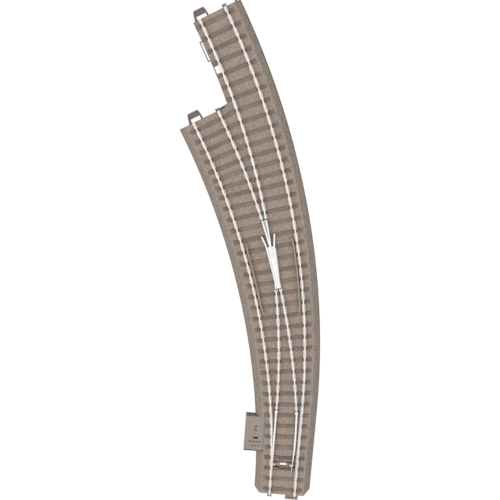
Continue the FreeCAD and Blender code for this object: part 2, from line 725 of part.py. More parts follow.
def wing_flare(name, radius, branch, y, bend, length):
    """Straight end of a wing rail, bent away from the vee."""
    spot = rail_spot(radius, branch, y)
    turn = f"({spot['turn']} + {bend})"
    return box(name, ("head_width", length, "rail_top - tie_top"), z="tie_top", turn=turn,
               x=f"{spot['x']} - {length} / 2 * sin({turn} * 1 deg)",
               y=f"{spot['y']} + {length} / 2 * cos({turn} * 1 deg)")


def make_frog():
    """Cast crossing: flangeway floor, both wing rails and the vee, all bounded by the rails' arcs."""
    half_head = "head_width / 2"
    inner_outside = f"{RIGHT} + {half_head}"
    inner_gauge = f"{RIGHT} - {half_head}"
    outer_gauge = f"{LEFT} + {half_head}"
    outer_outside = f"{LEFT} - {half_head}"
    left_wing_near = f"{inner_gauge} - flangeway"
    left_wing_far = f"{inner_gauge} - flangeway - head_width"
    right_wing_near = f"{outer_gauge} + flangeway"
    right_wing_far = f"{outer_gauge} + flangeway + head_width"

    def pair(name, radius_outer, radius_inner, top, join):
        """Join of one disc about each branch's centre."""
        first = disc(f"{name}_a", radius_outer, OUTER, top)
        return join(name, first, disc(f"{name}_b", radius_inner, INNER, top))

    def either(name, first, second):
        return fuse(name, [first, second])

    floor = pair("frog_floor_area", right_wing_far, left_wing_far, "frog_floor", cut)
    left_wing = cut("left_wing", pair("left_wing_in", outer_gauge, left_wing_near, "rail_top", common),
                    pair("left_wing_out", outer_outside, left_wing_far, "rail_top", common))
    right_wing = cut("right_wing", pair("right_wing_out", right_wing_far, inner_outside, "rail_top", either),
                     pair("right_wing_in", right_wing_near, inner_gauge, "rail_top", either))
    flange_top = "rail_top - flange_drop"
    right_flange = cut("right_flange",
                       pair("right_flange_out", f"{right_wing_far} + wing_flange",
                            f"{inner_outside} + wing_flange", flange_top, either),
                       pair("right_flange_in", right_wing_near, inner_gauge, flange_top, either))
    vee = cut("vee", pair("vee_out", outer_gauge, inner_gauge, "rail_top", cut),
              pair("vee_in", outer_outside, inner_outside, "rail_top", cut))
    vee_web = pair("vee_web", outer_outside, inner_outside, "rail_top - 1.2", cut)

    def stretch(name, first, last):
        """Block covering the crossing between two distances from its front face."""
        along = f"({first} + {last}) / 2"
        return box(name, ("30", f"{last} - ({first})", "5"), z="tie_top - 1", turn="frog_tilt",
                   x=f"frog_front_x - {along} * sin(frog_tilt * 1 deg)",
                   y=f"frog_front_y + {along} * cos(frog_tilt * 1 deg)")

    front = [common("frog_floor_part", floor, stretch("floor_stretch", "0", "28.5")),
             common("wings_part", fuse("wings", [left_wing, right_wing]), stretch("wing_stretch", "0", "30.4")),
             common("flange_part", right_flange, stretch("flange_stretch", "0.3", "27"))]
    rear = [common("vee_part", fuse("vee_whole", [vee, vee_web]), stretch("vee_stretch", "20", "frog_length"))]
    flares = [wing_flare("left_flare", f"({left_wing_near} - {half_head})", INNER, "177", "9", "6.8"),
              wing_flare("right_flare", f"({right_wing_near} + {half_head})", OUTER, "177.6", "-9.5", "8")]
    casting = fuse("frog_cast", front + rear + flares)
    dimples = [cylinder("dimple_a", "0.4", "2", x="-26.9", y="192.0", z="rail_top - 1.7"),
               cylinder("dimple_b", "0.4", "2", x="-24.7", y="186.6", z="rail_top - 1.7")]
    node(cut("frog_finished", casting, fuse("dimples", dimples)), "frog_casting")


# ---------------------------------------------------------------- switch blades

def swung(thing, x, y, turn):
    """Turn a finished shape about a vertical axis through a point."""
    sine = f"sin(({turn}) * 1 deg)"
    cosine = f"cos(({turn}) * 1 deg)"
    return place(thing, turn=turn, x=f"({x}) - (({x}) * {cosine} - ({y}) * {sine})",
                 y=f"({y}) - (({x}) * {sine} + ({y}) * {cosine})")


def finish_blade(label, bar, heel_x, pin_x):
    """Heel eye, drive ear and tapered tip, added to a blade bar in its rest position."""
    inward = f"(-1) * ({pin_x}) / abs({pin_x})"
    blade = fuse(f"{label}_metal", [
        bar,
        cylinder(f"{label}_heel", "heel_boss", "rail_top - blade_bottom", x=heel_x, y="heel_y",
                 z="blade_bottom"),
        cylinder(f"{label}_ear", "pin_radius + 0.4", "ear_depth", x=pin_x, y="bar_y", z="blade_bottom"),
        box(f"{label}_ear_root", ("1.0", "1.6", "ear_depth"), x=f"{pin_x} - 0.4 * {inward}", y="bar_y",
            z="blade_bottom"),
    ])
    ramp = new_body(f"{label}_ramp", x=heel_x)
    corners = (("tip_y - 1", "rail_top - 0.7"), ("tip_y + 14", "rail_top"), ("tip_y + 14", "rail_top + 1"),
               ("tip_y - 1", "rail_top + 1"))
    pad(ramp, f"{label}_ramp_pad", sketch_on(ramp, f"{label}_ramp_side", "YZ_Plane", corners, lift="-6"), "12")
    removed = [
        ramp,
        cylinder(f"{label}_heel_eye", "pin_radius + running_gap", "6", x=heel_x, y="heel_y", z="tie_top - 1"),
        cylinder(f"{label}_pin_eye", "pin_radius", "6", x=pin_x, y="bar_y", z="tie_top - 1"),
    ]
    node(cut(f"{label}_finished", blade, fuse(f"{label}_removed", removed)), label)


def make_blades():
    """Blades planed to lie against their stock rails; the right one is then swung open to its rest position."""
    half_head = "head_width / 2"
    tall = "rail_top - blade_bottom"
    left_bar = box("left_bar", ("blade_width", "heel_y - tip_y", tall), y="(heel_y + tip_y) / 2",
                   x=f"-{RAIL_OFFSET} + {half_head} - blade_width / 2", z="blade_bottom")
    left_stock_head = cylinder("left_stock_head", f"{LEFT} + {half_head} + running_gap", tall,
                               x="-curve_radius", z="blade_bottom")
    finish_blade("switch_blade_left", cut("left_planed", left_bar, left_stock_head), f"-{RAIL_OFFSET}",
                 "left_pin_x")
    start = across_y(INNER, RIGHT, "tip_y")
    section = block_section(f"{RIGHT} - {half_head}", f"{RIGHT} - {half_head} + blade_width", "blade_bottom",
                            "rail_top")
    right_bar = sweep("right_bar", section, INNER, start=start,
                      angle=f"{across_y(INNER, RIGHT, 'heel_y')} - {start}")
    right_stock_head = box("right_stock_head", ("6", "heel_y", tall), x="gauge / 2 - running_gap + 3",
                           y="heel_y / 2", z="blade_bottom")
    closed = cut("right_planed", right_bar, right_stock_head)
    finish_blade("switch_blade_right", swung(closed, "heel_right_x", "heel_y", "-blade_swing"), "heel_right_x",
                 "right_pin_x")


def make_pins():
    """Heel pins pressed into the deck, and drive pins riveted into the blades' ears."""
    for side, x in (("left", f"-{RAIL_OFFSET}"), ("right", "heel_right_x")):
        shank = cylinder(f"heel_shank_{side}", "pin_radius", "rail_top - deck_under - 0.1", x=x, y="heel_y",
                         z="deck_under")
        head = cylinder(f"heel_head_{side}", "pin_radius * 2", "0.5", x=x, y="heel_y", z="deck_under - 0.5")
        node(fuse(f"heel_{side}", [shank, head]), f"heel_pin_{side}")
    for side, x in (("left", "left_pin_x"), ("right", "right_pin_x")):
        shank = cylinder(f"drive_shank_{side}", "pin_radius", "blade_bottom + ear_depth - bar_bottom - 0.2",
                         x=x, y="bar_y", z="bar_bottom + 0.2")
        head = bind(doc.addObject("Part::Sphere", f"drive_head_{side}"), Radius="pin_radius * 1.25")
        place(head, x=x, y="bar_y", z="blade_bottom + ear_depth - pin_radius * 0.75")
        cap = common(f"drive_cap_{side}", head, cylinder(f"drive_cap_limit_{side}", "1", "1", x=x, y="bar_y",
                                                         z="blade_bottom + ear_depth"))
        node(fuse(f"drive_{side}", [shank, cap]), f"blade_pin_{side}")


# ---------------------------------------------------------------- throwing mechanism

def make_throw_bar():
    """Bar between the stock rails with a lens-shaped middle, slots, and an arm under the deck to the slide."""
    middle = "-bar_shift"
    lens_radius = "(lens_half * lens_half + lens_width * lens_width / 4) / lens_width"
    arcs = [cylinder(f"lens_{name}", lens_radius, "bar_depth", x=middle, z="bar_bottom",
                     y=f"bar_y {sign} ({lens_radius} - lens_width / 2)")
            for name, sign in (("near", "+"), ("far", "-"))]
    arm_width = "2.2"
    arm_left = "link_x - link_width / 2"
    solid = fuse("bar_solid", [
        box("bar_strip", ("bar_half * 2", "bar_width", "bar_depth"), x=middle, y="bar_y", z="bar_bottom"),
        common("bar_lens", arcs[0], arcs[1]),
        box("bar_riser", ("riser_width", arm_width, "bar_bottom + bar_depth / 2 - arm_bottom"),
            x="arm_end_x - riser_width / 2", y="bar_y", z="arm_bottom"),
        box("bar_arm", (f"arm_end_x - ({arm_left})", arm_width, "deck_under - 0.1 - arm_bottom"),
            x=f"(arm_end_x + {arm_left}) / 2", y="bar_y", z="arm_bottom"),
        box("bar_post", ("link_width", arm_width, "arm_bottom - slide_bottom"), x="link_x", y="bar_y",
            z="slide_bottom + 0.1"),
    ])
    slots = [box("bar_slot", ("bar_slot_length", "bar_slot_width", "3"), x="-0.9", y="bar_y",
                 z="bar_bottom - 1")]
    for side, x in (("left", "left_pin_x"), ("right", "right_pin_x")):
        slots.append(box(f"pin_slot_{side}", ("(pin_radius + running_gap) * 2", "pin_radius * 2 + 0.4", "3"),
                         x=x, y="bar_y + 0.1", z="bar_bottom - 1"))
    node(cut("bar_finished", solid, fuse("bar_slots", slots)), "throw_bar")


def make_drive_slide():
    """Flat link under the deck from the throw bar's post to the lever, with a detent nose."""
    nose = "-15.6"
    outline = (("-14.2", "bar_y - 2.5"), ("-9.2", "bar_y - 2.5"), ("-9.2", "42.6"),
               (f"{nose} + 1.2", "42.6"), (nose, "43.5"), (f"{nose} - 1.2", "42.6"),
               ("-25.4", "42.6"), ("-25.4", "38.6"), ("-14.2", "38.6"))
    plate = prism("slide_plate", outline, "slide_bottom", "slide_depth")
    half_throw = "throw / 2"
    holes = [
        box("post_hole", ("link_width + 0.1", "2.3", "5"), x="link_x", y="bar_y"),
        box("lever_slot", ("(pin_radius + running_gap) * 2", "pin_radius * 2 + 0.6", "5"),
            x=f"lever_x - {half_throw}", y="lever_y - lever_arm * 0.99"),
    ]
    node(cut("slide_finished", plate, fuse("slide_holes", holes)), "drive_slide")


def make_lever():
    """Lever on a vertical pivot: knob through the box top, drive pin into the slide."""
    half_throw = "throw / 2"
    tip_x = f"(lever_x - {half_throw})"
    tip_y = f"(lever_y - sqrt(lever_arm * lever_arm - {half_throw} * {half_throw}))"
    bottom = "slide_bottom + slide_depth + 0.1"
    metal = [
        cylinder("lever_hub", "2", "1", x="lever_x", y="lever_y", z=bottom),
        cylinder("lever_end", "1.2", "1", x=tip_x, y=tip_y, z=bottom),
        box("lever_web", ("2", "lever_arm - 1", "1"), x=f"(lever_x + {tip_x}) / 2",
            y=f"(lever_y + {tip_y}) / 2", z=bottom, turn=f"-asin({half_throw} / lever_arm) / 1 deg"),
        cylinder("lever_knob", "0.6", f"box_top + 0.7 - ({bottom})", x=tip_x, y=tip_y, z=bottom),
        cylinder("lever_drive_pin", "pin_radius", "slide_depth", x=tip_x, y=tip_y, z="slide_bottom + 0.2"),
    ]
    eye = cylinder("lever_eye", "1 + running_gap", "5", x="lever_x", y="lever_y", z="slide_bottom")
    node(cut("lever_finished", fuse("lever_solid", metal), eye), "hand_lever")


def make_lever_bush():
    """Round plug in the box top: lever pivot below, a socket and two curved slots above."""
    plug = [cylinder("bush_disc", "2.3", "box_wall + 0.05", x="lever_x", y="lever_y", z="box_top - box_wall"),
            cylinder("bush_post", "1", "2.4", x="lever_x", y="lever_y", z="box_top - box_wall - 2.4")]
    cuts = [cylinder("bush_socket", "0.6", "2", x="lever_x", y="lever_y", z="box_top - 1.2")]
    where = {"x": "lever_x", "y": "lever_y", "z": "box_top - 0.9"}
    for number, first in enumerate(("40", "220")):
        arc = cylinder(f"bush_arc_{number}", "1.95", "2", turn=first, **where)
        core = cylinder(f"bush_core_{number}", "1.25", "2", **where)
        arc.Angle = 100
        cuts.append(cut(f"bush_curved_slot_{number}", arc, core))
    node(cut("bush_finished", fuse("bush_solid", plug), fuse("bush_cuts", cuts)), "lever_bush")


def make_detent_spring():
    """Bent leaf that the slide's nose snaps past, holding either position."""
    lower = (("-20.6", "45.55"), ("-18.9", "45.55"), ("-14.23", "43.3"), ("-9.1", "45.55"), ("-7.9", "45.55"))
    upper = tuple((x, f"{y} + 0.25") for x, y in reversed(lower))
    node(prism("spring_leaf", lower + upper, "slide_bottom + 0.2", "1"), "detent_spring")


def make_cover_and_screws():
    """Plate that closes the mechanism from below, with its three screws."""
    outline = (("-18", "19"), ("-6", "19"), ("-6", "54"), ("-27.8", "54"), ("-27.8", "32.2"), ("-18", "32.2"))
    plate = prism("cover_plate", outline, "cover_bottom", "cover_depth")
    holes, screws = [], []
    for number, (x, y, roof) in enumerate(BOSS_PLACES):
        holes.append(cylinder(f"cover_hole_{number}", "0.7", "3", x=x, y=y))
        shank = cylinder(f"screw_shank_{number}", "0.6", "3.2", x=x, y=y, z="cover_bottom")
        head = cylinder(f"screw_head_{number}", "1.2", "0.6", x=x, y=y, z="cover_bottom - 0.6")
        slot = box(f"screw_slot_{number}", ("3", "0.35", "0.3"), x=x, y=y, z="cover_bottom - 0.6")
        screws.append(cut(f"screw_{number}", fuse(f"screw_solid_{number}", [shank, head]), slot))
    node(cut("cover_finished", plate, fuse("cover_holes", holes)), "mechanism_cover")
    node(compound("screws", screws), "cover_screws")


# ---------------------------------------------------------------- electrical pieces

def make_feeders():
    """Metal strips clipped under the deck, each with a lug up to the foot of two rails."""
    for name, (radius_one, branch_one, radius_two, branch_two, y) in FEEDERS.items():
        first, second = rail_spot(radius_one, branch_one, y), rail_spot(radius_two, branch_two, y)
        strip = box(f"{name}_strip", (f"{second['x']} - ({first['x']}) + 0.9", "2.4", "0.4"), y=y,
                    x=f"({first['x']} + {second['x']}) / 2", z="deck_under - 0.4")
        lugs = [box(f"{name}_lug_{side}", ("0.7", "2.4", "tie_top - deck_under + 0.4"), z="deck_under - 0.4",
                    **spot) for side, spot in (("a", first), ("b", second))]
        node(fuse(f"{name}_whole", [strip] + lugs), name)


def make_joiners():
    """Channel-shaped joiners under the rail foot at the three ends, on the right looking outward."""
    section = mirrored(RAIL_OFFSET, (
        ("foot_width / 2 + 0.4", "tie_top - 0.3"),
        ("foot_width / 2 + 0.4", "tie_top + foot_depth + 0.3"),
        ("foot_width / 2 + running_gap", "tie_top + foot_depth + 0.3"),
        ("foot_width / 2 + running_gap", "tie_top"),
    ))
    for end, where in END_PLACES.items():
        joiner = new_body(f"joiner_{end}", **where)
        outline = sketch_on(joiner, f"joiner_{end}_section", "XZ_Plane", section, lift="-joiner_reach")
        pad(joiner, f"joiner_{end}_pad", outline, "joiner_reach + 2.4")
        node(joiner, f"rail_joiner_{end}")


# ---------------------------------------------------------------- build, check and write

def main():
    make_roadbed()
    make_running_rails()
    make_insulating_joints()
    make_guard_rails()
    make_frog()
    make_blades()
    make_pins()
    make_throw_bar()
    make_drive_slide()
    make_lever()
    make_lever_bush()
    make_detent_spring()
    make_cover_and_screws()
    make_feeders()
    make_joiners()
    doc.recompute()
    failed = [thing.Label for thing in doc.Objects if "Invalid" in thing.State or "Error" in thing.State]
    failed += [thing.Label for thing in NODES if thing.Shape.isNull() or not thing.Shape.isValid()]
    tallest = value_of("rail_top") + 0.001
    failed += [thing.Label for thing in NODES if thing.Shape.BoundBox.ZMax > tallest]
    if failed:
        raise RuntimeError(f"these did not rebuild: {failed}")
    for thing in NODES:
        thing.Shape.exportStep(f"parts/{thing.Label}.step")
        print(thing.Label, len(thing.Shape.Solids), "solid(s)", round(thing.Shape.Volume, 2), "mm3")


main()
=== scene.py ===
"""Looks of a curved model railway turnout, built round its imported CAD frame.

Lengths are millimetres until a mesh or a node setting is made; the frame, lamps and camera are in metres.
"""

import math

import bmesh
import bpy
import numpy as np
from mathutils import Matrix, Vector


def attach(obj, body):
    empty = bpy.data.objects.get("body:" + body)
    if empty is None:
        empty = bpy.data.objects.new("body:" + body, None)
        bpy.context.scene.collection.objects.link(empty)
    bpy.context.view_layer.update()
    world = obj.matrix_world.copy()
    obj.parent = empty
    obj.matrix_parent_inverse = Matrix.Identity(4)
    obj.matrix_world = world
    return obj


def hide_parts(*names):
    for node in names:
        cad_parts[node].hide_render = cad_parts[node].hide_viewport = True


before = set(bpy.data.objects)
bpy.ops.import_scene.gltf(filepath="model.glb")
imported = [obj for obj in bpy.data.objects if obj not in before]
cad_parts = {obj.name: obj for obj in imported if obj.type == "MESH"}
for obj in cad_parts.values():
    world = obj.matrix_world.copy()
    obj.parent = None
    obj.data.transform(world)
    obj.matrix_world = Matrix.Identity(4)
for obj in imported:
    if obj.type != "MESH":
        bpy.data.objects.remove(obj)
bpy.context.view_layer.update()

MM = 0.001

# ---------------------------------------------------------------- driving dimensions

CURVE_RADIUS = 515.0
CURVE_ANGLE = math.radians(30)
LEAD = 64.3                       # straight stretch before the outer curve
HEAD_WIDTH = 1.0
GAUGE = 16.5
RAIL_OFFSET = GAUGE / 2 + HEAD_WIDTH / 2
LEFT = CURVE_RADIUS - RAIL_OFFSET
RIGHT = CURVE_RADIUS + RAIL_OFFSET
DECK_TOP = 7.2
TIE_TOP = 8.0
FOOT_TOP = 8.4
RAIL_TOP = 10.3
BED_HALF = 19.4
SHOULDER_HALF = 15.0
SKIRT_TOP = 2.4
CUT_HALF = 13.4
HEEL_Y = 62.2
HEEL_RIGHT_X = 5.04
BLADE_SWING = math.radians(4.0)
BAR_Y = 22.9
BAR_HALF, LENS_HALF = 7.4, 5.8    # half lengths of the throw bar and of its lens-shaped middle
THROW = 2.74
BAR_MIDDLE = THROW / 2 - 0.7      # middle of the bar's travel
BOX_FRONT, BOX_BACK = 30.8, 56.3  # lever box
FROG_FRONT, FROG_BACK = 147.8, 194.9
FITTINGS_FROM_Y = 240.0           # the far loops and bracket lie beyond this

INNER_CENTRE = np.array([-CURVE_RADIUS, 0.0])
OUTER_CENTRE = np.array([-CURVE_RADIUS, LEAD])
END_SIDE = np.array([math.cos(CURVE_ANGLE), math.sin(CURVE_ANGLE)])
END_AHEAD = np.array([-math.sin(CURVE_ANGLE), math.cos(CURVE_ANGLE)])

# block cutters: centre, size and turn
LEVER_SPACE = ((-23.4, (BOX_FRONT + BOX_BACK) / 2, 4.0), (15.4, BOX_BACK - BOX_FRONT, 10.0), 0.0)
CHANNEL = [
    ((BAR_MIDDLE, BAR_Y, 8.0), (2 * BAR_HALF + THROW + 0.6, 3.0, 3.6), 0.0),
    ((BAR_MIDDLE, BAR_Y, 8.0), (2 * LENS_HALF + THROW + 0.6, 4.6, 3.6), 0.0),
    ((BAR_MIDDLE, BAR_Y - 0.9, 6.0), (9.0, 4.4, 8.0), 0.0),
]

# ---------------------------------------------------------------- colours and node helpers


def linear(red, green, blue):
    """Linear colour of three 0 to 255 display values."""
    values = [v / 255 for v in (red, green, blue)]
    return [v / 12.92 if v <= 0.04045 else ((v + 0.055) / 1.055) ** 2.4 for v in values] + [1.0]


class Finish:
    """A node material put together by short calls."""

    def __init__(self, name):
        self.material = bpy.data.materials.new(name)
        self.material.use_nodes = True
        self.nodes = self.material.node_tree.nodes
        self.shader = self.nodes["Principled BSDF"]
        self.place = self.add("ShaderNodeTexCoord").outputs["Object"]

    def add(self, kind, **settings):
        """A node with the given properties."""
        node = self.nodes.new(kind)
        for key, value in settings.items():
            setattr(node, key, value)
        return node

    def feed(self, socket, value):
        """Link a node's output to an input, or set the input to a plain value."""
        if isinstance(value, bpy.types.NodeSocket):
            self.material.node_tree.links.new(value, socket)
        else:
            socket.default_value = value

    def noise(self, size, detail=3.0, vector=None, roughness=0.55):
        """Cloud pattern with features of a given size in millimetres."""
        node = self.add("ShaderNodeTexNoise")
        self.feed(node.inputs["Vector"], vector or self.place)
        node.inputs["Scale"].default_value = 1.0 / (size * MM)
        node.inputs["Detail"].default_value = detail
        node.inputs["Roughness"].default_value = roughness
        return node.outputs[0]

    def cells(self, size):
        """Pattern of cells of a given size in millimetres."""
        node = self.add("ShaderNodeTexVoronoi", feature="F1")
        self.feed(node.inputs["Vector"], self.place)
        node.inputs["Scale"].default_value = 1.0 / (size * MM)
        return node.outputs[0]

    def maths(self, operation, first, second=0.0):
        """Number made from one or two others."""
        node = self.add("ShaderNodeMath", operation=operation)
        self.feed(node.inputs[0], first)
        self.feed(node.inputs[1], second)
        return node.outputs[0]

    def spread(self, value, low, high, to_low=0.0, to_high=1.0):
        """Stretch a value from one range onto another, held at the ends."""
        node = self.add("ShaderNodeMapRange")
        self.feed(node.inputs[0], value)
        for index, number in enumerate((low, high, to_low, to_high), start=1):
            node.inputs[index].default_value = number
        return node.outputs[0]

    def ramp(self, factor, *stops):
        """Colour from a factor by (position, colour) stops."""
        node = self.add("ShaderNodeValToRGB")
        self.feed(node.inputs[0], factor)
        elements = node.color_ramp.elements
        while len(elements) < len(stops):
            elements.new(0.5)
        for element, (position, colour) in zip(elements, stops):
            element.position = position
            element.color = colour
        return node.outputs[0]

    def mix(self, factor, first, second):
        """Blend of two colours."""
        node = self.add("ShaderNodeMix", data_type="RGBA", blend_type="MIX")
        self.feed(node.inputs[0], factor)
        self.feed(node.inputs[6], first)
        self.feed(node.inputs[7], second)
        return node.outputs[2]

    def attribute(self, name):
        """Outputs of a value stored on the mesh: 1 is the vector, 2 the number."""
        return self.add("ShaderNodeAttribute", attribute_name=name).outputs

    def axis(self, index, vector=None):
        """One coordinate of the place, in metres."""
        node = self.add("ShaderNodeSeparateXYZ")
        self.feed(node.inputs[0], vector or self.place)
        return node.outputs[index]

    def stretched(self, scale, vector=None):
        """Place scaled per axis, for streaks and grain."""
        node = self.add("ShaderNodeVectorMath", operation="MULTIPLY")
        self.feed(node.inputs[0], vector or self.place)
        node.inputs[1].default_value = scale
        return node.outputs[0]

    def bump(self, height, depth, strength):
        """Fine relief of a given depth in millimetres."""
        node = self.add("ShaderNodeBump")
        self.feed(node.inputs["Height"], height)
        node.inputs["Distance"].default_value = depth * MM
        node.inputs["Strength"].default_value = strength
        return node.outputs[0]

    def done(self, colour, roughness, normal=None, metallic=0.0, **others):
        """Feed the shader and hand over the material."""
        self.feed(self.shader.inputs["Base Color"], colour)
        self.feed(self.shader.inputs["Roughness"], roughness)
        self.feed(self.shader.inputs["Metallic"], metallic)
        if normal:
            self.feed(self.shader.inputs["Normal"], normal)
        for key, value in others.items():
            self.feed(self.shader.inputs[key.replace("_", " ")], value)
        return self.material


# ---------------------------------------------------------------- materials


def ballast_finish():
    """Moulded gravel: each stone its own tone, painted shade in the gaps between stones, fine grit on the
    faces.
    """
    f = Finish("ballast")
    stone = f.attribute("stone")[2]
    depth = f.attribute("depth")[2]
    shades = f.ramp(stone, (0.0, linear(125, 109, 98)), (0.3, linear(147, 131, 119)),
                    (0.62, linear(159, 143, 131)), (0.85, linear(172, 155, 143)),
                    (1.0, linear(157, 135, 122)))
    patches = f.ramp(f.noise(26, 3), (0.35, linear(162, 141, 131)), (0.5, linear(153, 140, 126)),
                     (0.65, linear(151, 141, 126)))
    toned = f.mix(0.3, shades, patches)
    # painted shade: where the stone relief is low, in the gaps between stones, the colour is darkened
    gap_shaded = f.mix(f.spread(depth, 0.0, 0.5, 0.45, 0.0), toned, linear(118, 104, 94))
    grit = f.noise(0.22, 4)
    colour = f.mix(f.spread(grit, 0.35, 0.7, 0.0, 0.22), gap_shaded, linear(196, 184, 172))
    return f.done(colour, f.spread(grit, 0.3, 0.7, 0.72, 0.92), f.bump(grit, 0.06, 0.6))


def wood_finish():
    """Tie moulded as weathered wood: grain along the tie, tone changing from tie to tie."""
    f = Finish("tie_wood")
    grain_place = f.attribute("grain")[1]
    tint = f.attribute("tint")[2]
    grain = f.noise(0.9, 5, f.stretched((0.12, 1.6, 1.0), grain_place), 0.6)
    base = f.ramp(tint, (0.0, linear(108, 95, 86)), (0.15, linear(124, 110, 97)),
                  (0.45, linear(131, 114, 103)), (0.75, linear(137, 113, 104)), (1.0, linear(141, 122, 109)))
    lined = f.mix(f.spread(grain, 0.38, 0.66, 0.0, 0.6), base, linear(106, 88, 78))
    blotch = f.spread(f.noise(5, 3), 0.45, 0.75, 0.0, 0.35)
    colour = f.mix(blotch, lined, linear(160, 143, 131))
    return f.done(colour, f.spread(grain, 0.3, 0.7, 0.62, 0.82), f.bump(grain, 0.05, 0.5))


def moulded_finish(name, shade, dark, light, grain=0.35, roughness=0.7, far_tone_and_shade=None):
    """Through-coloured matt plastic with a sparked surface and flow marks; below the deck at the far end a
    darker colour, the loops' raw plastic with painted shade on the low walls.
    """
    f = Finish(name)
    spark = f.noise(grain, 4)
    flow = f.noise(9, 3, f.stretched((1.0, 0.35, 1.0)))
    toned = f.mix(f.spread(flow, 0.35, 0.65, 0.0, 0.55), shade, dark)
    colour = f.mix(f.spread(spark, 0.48, 0.72, 0.0, 0.5), toned, light)
    if far_tone_and_shade is not None:
        # painted shade: past the far limit and below the deck top the colour goes darker, the far loops' raw
        # plastic deepened with painted shade on the low walls
        far = f.spread(f.axis(1), FITTINGS_FROM_Y * MM, (FITTINGS_FROM_Y + 1.0) * MM)
        low = f.spread(f.axis(2), (DECK_TOP - 0.2) * MM, (DECK_TOP - 0.1) * MM, 1.0, 0.0)
        colour = f.mix(f.maths("MULTIPLY", low, far), colour, far_tone_and_shade)
    pits = f.cells(grain * 2.2)
    relief = f.maths("ADD", spark, f.spread(pits, 0.0, 0.3, 0.0, 0.5))
    return f.done(colour, f.spread(spark, 0.3, 0.7, roughness - 0.08, roughness + 0.12),
                  f.bump(relief, 0.05, 0.55))


def along_rail(f, centre):
    """Place with X across the rail, Y along it and Z up, for a rail curved about a centre."""
    shifted = f.add("ShaderNodeVectorMath", operation="SUBTRACT")
    f.feed(shifted.inputs[0], f.place)
    shifted.inputs[1].default_value = (centre[0] * MM, centre[1] * MM, 0.0)
    x, y = f.axis(0, shifted.outputs[0]), f.axis(1, shifted.outputs[0])
    reach = f.maths("SQRT", f.maths("ADD", f.maths("MULTIPLY", x, x), f.maths("MULTIPLY", y, y)))
    turn = f.maths("MULTIPLY", f.maths("ARCTAN2", y, x), CURVE_RADIUS * MM)
    joined = f.add("ShaderNodeCombineXYZ")
    f.feed(joined.inputs[0], reach)
    f.feed(joined.inputs[1], turn)
    f.feed(joined.inputs[2], f.axis(2))
    return joined.outputs[0]


def rail_finish(name, centre=None):
    """Nickel silver rail: polished running top with fine drawn lines, rougher web and foot, and painted shade
    darkening the web under the head.
    """
    f = Finish(name)
    place = along_rail(f, centre) if centre is not None else f.place
    lines = f.noise(0.12, 3, f.stretched((1.0, 0.02, 1.0), place))
    smudge = f.noise(14, 4)
    height = f.spread(f.axis(2), (TIE_TOP + 0.2) * MM, (TIE_TOP + 1.9) * MM)
    # painted shade by height: the web under the head is darkened, while the foot and head tops stay bright
    height_shaded_metal = f.ramp(height, (0.0, linear(242, 235, 231)), (0.2, linear(232, 225, 221)),
                   (0.5, linear(190, 181, 175)), (0.8, linear(242, 235, 231)), (1.0, linear(248, 242, 239)))
    worn = f.mix(f.spread(lines, 0.35, 0.7, 0.0, 0.18), height_shaded_metal, linear(206, 197, 190))
    colour = f.mix(f.spread(smudge, 0.5, 0.8, 0.0, 0.18), worn, linear(204, 192, 182))
    roughness = f.maths("ADD", f.spread(lines, 0.3, 0.7, 0.2, 0.36), f.spread(height, 0.6, 1.0, 0.16, 0.0))
    return f.done(colour, roughness, f.bump(lines, 0.015, 0.5), metallic=0.85)


def cast_finish():
    """Die-cast crossing: floor polished and painted near white against its shade, satin running tops, painted
    shade on the low flange, in the cavities and in the corners.
    """
    f = Finish("cast_metal")
    skin = f.noise(0.3, 5)
    cloud = f.noise(7, 3)
    height = f.spread(f.axis(2), (RAIL_TOP - 1.3) * MM, RAIL_TOP * MM)
    # painted light and shade by height: cavities below the floor and the low outer flange darkened, the floor
    # painted near white to offset its shade
    height_shaded_metal = f.ramp(height, (0.0, linear(192, 193, 193)), (0.4, linear(196, 197, 197)),
                   (0.45, linear(255, 255, 254)), (0.54, linear(255, 255, 254)), (0.6, linear(196, 194, 192)),
                   (0.75, linear(192, 190, 188)), (0.93, linear(232, 232, 230)), (1.0, linear(240, 240, 238)))
    toned = f.mix(f.spread(cloud, 0.5, 0.8, 0.0, 0.2), height_shaded_metal, linear(214, 213, 209))
    # painted shade: ambient occlusion greys the creases at the wall feet
    corners = f.add("ShaderNodeAmbientOcclusion", samples=8)
    corners.inputs["Distance"].default_value = 0.9 * MM
    unshaded_share = f.spread(corners.outputs["AO"], 0.3, 0.85)
    colour = f.mix(unshaded_share, linear(180, 180, 180), toned)
    roughness = f.maths("ADD", f.spread(skin, 0.3, 0.7, 0.26, 0.44), f.spread(height, 0.5, 1.0, 0.12, 0.0))
    return f.done(colour, roughness, f.bump(skin, 0.03, 0.5), metallic=0.6)


def turned_finish(name, shade, mark, ring=0.25, roughness=0.25):
    """Turned, rolled or plated small metal parts, with fine rings and handling marks."""
    f = Finish(name)
    rings = f.noise(ring, 2, f.stretched((1.0, 1.0, 3.0)))
    stain = f.noise(3.0, 4)
    colour = f.mix(f.spread(stain, 0.48, 0.78, 0.0, 0.6), shade, mark)
    return f.done(colour, f.spread(rings, 0.3, 0.7, roughness - 0.06, roughness + 0.14),
                  f.bump(rings, 0.02, 0.5), metallic=1.0)


def floor_finish():
    """Pale table: near white to the camera, but throwing little light back up at the object."""
    f = Finish("pale_table")
    seen = f.add("ShaderNodeLightPath").outputs["Is Camera Ray"]
    tone = f.mix(f.spread(f.noise(180, 2), 0.3, 0.7), linear(84, 84, 84), linear(90, 90, 90))
    colour = f.mix(seen, linear(120, 118, 116), tone)
    glow = f.maths("MULTIPLY", seen, 0.93)
    return f.done(colour, 0.9, Emission_Color=linear(255, 255, 255), Emission_Strength=glow)


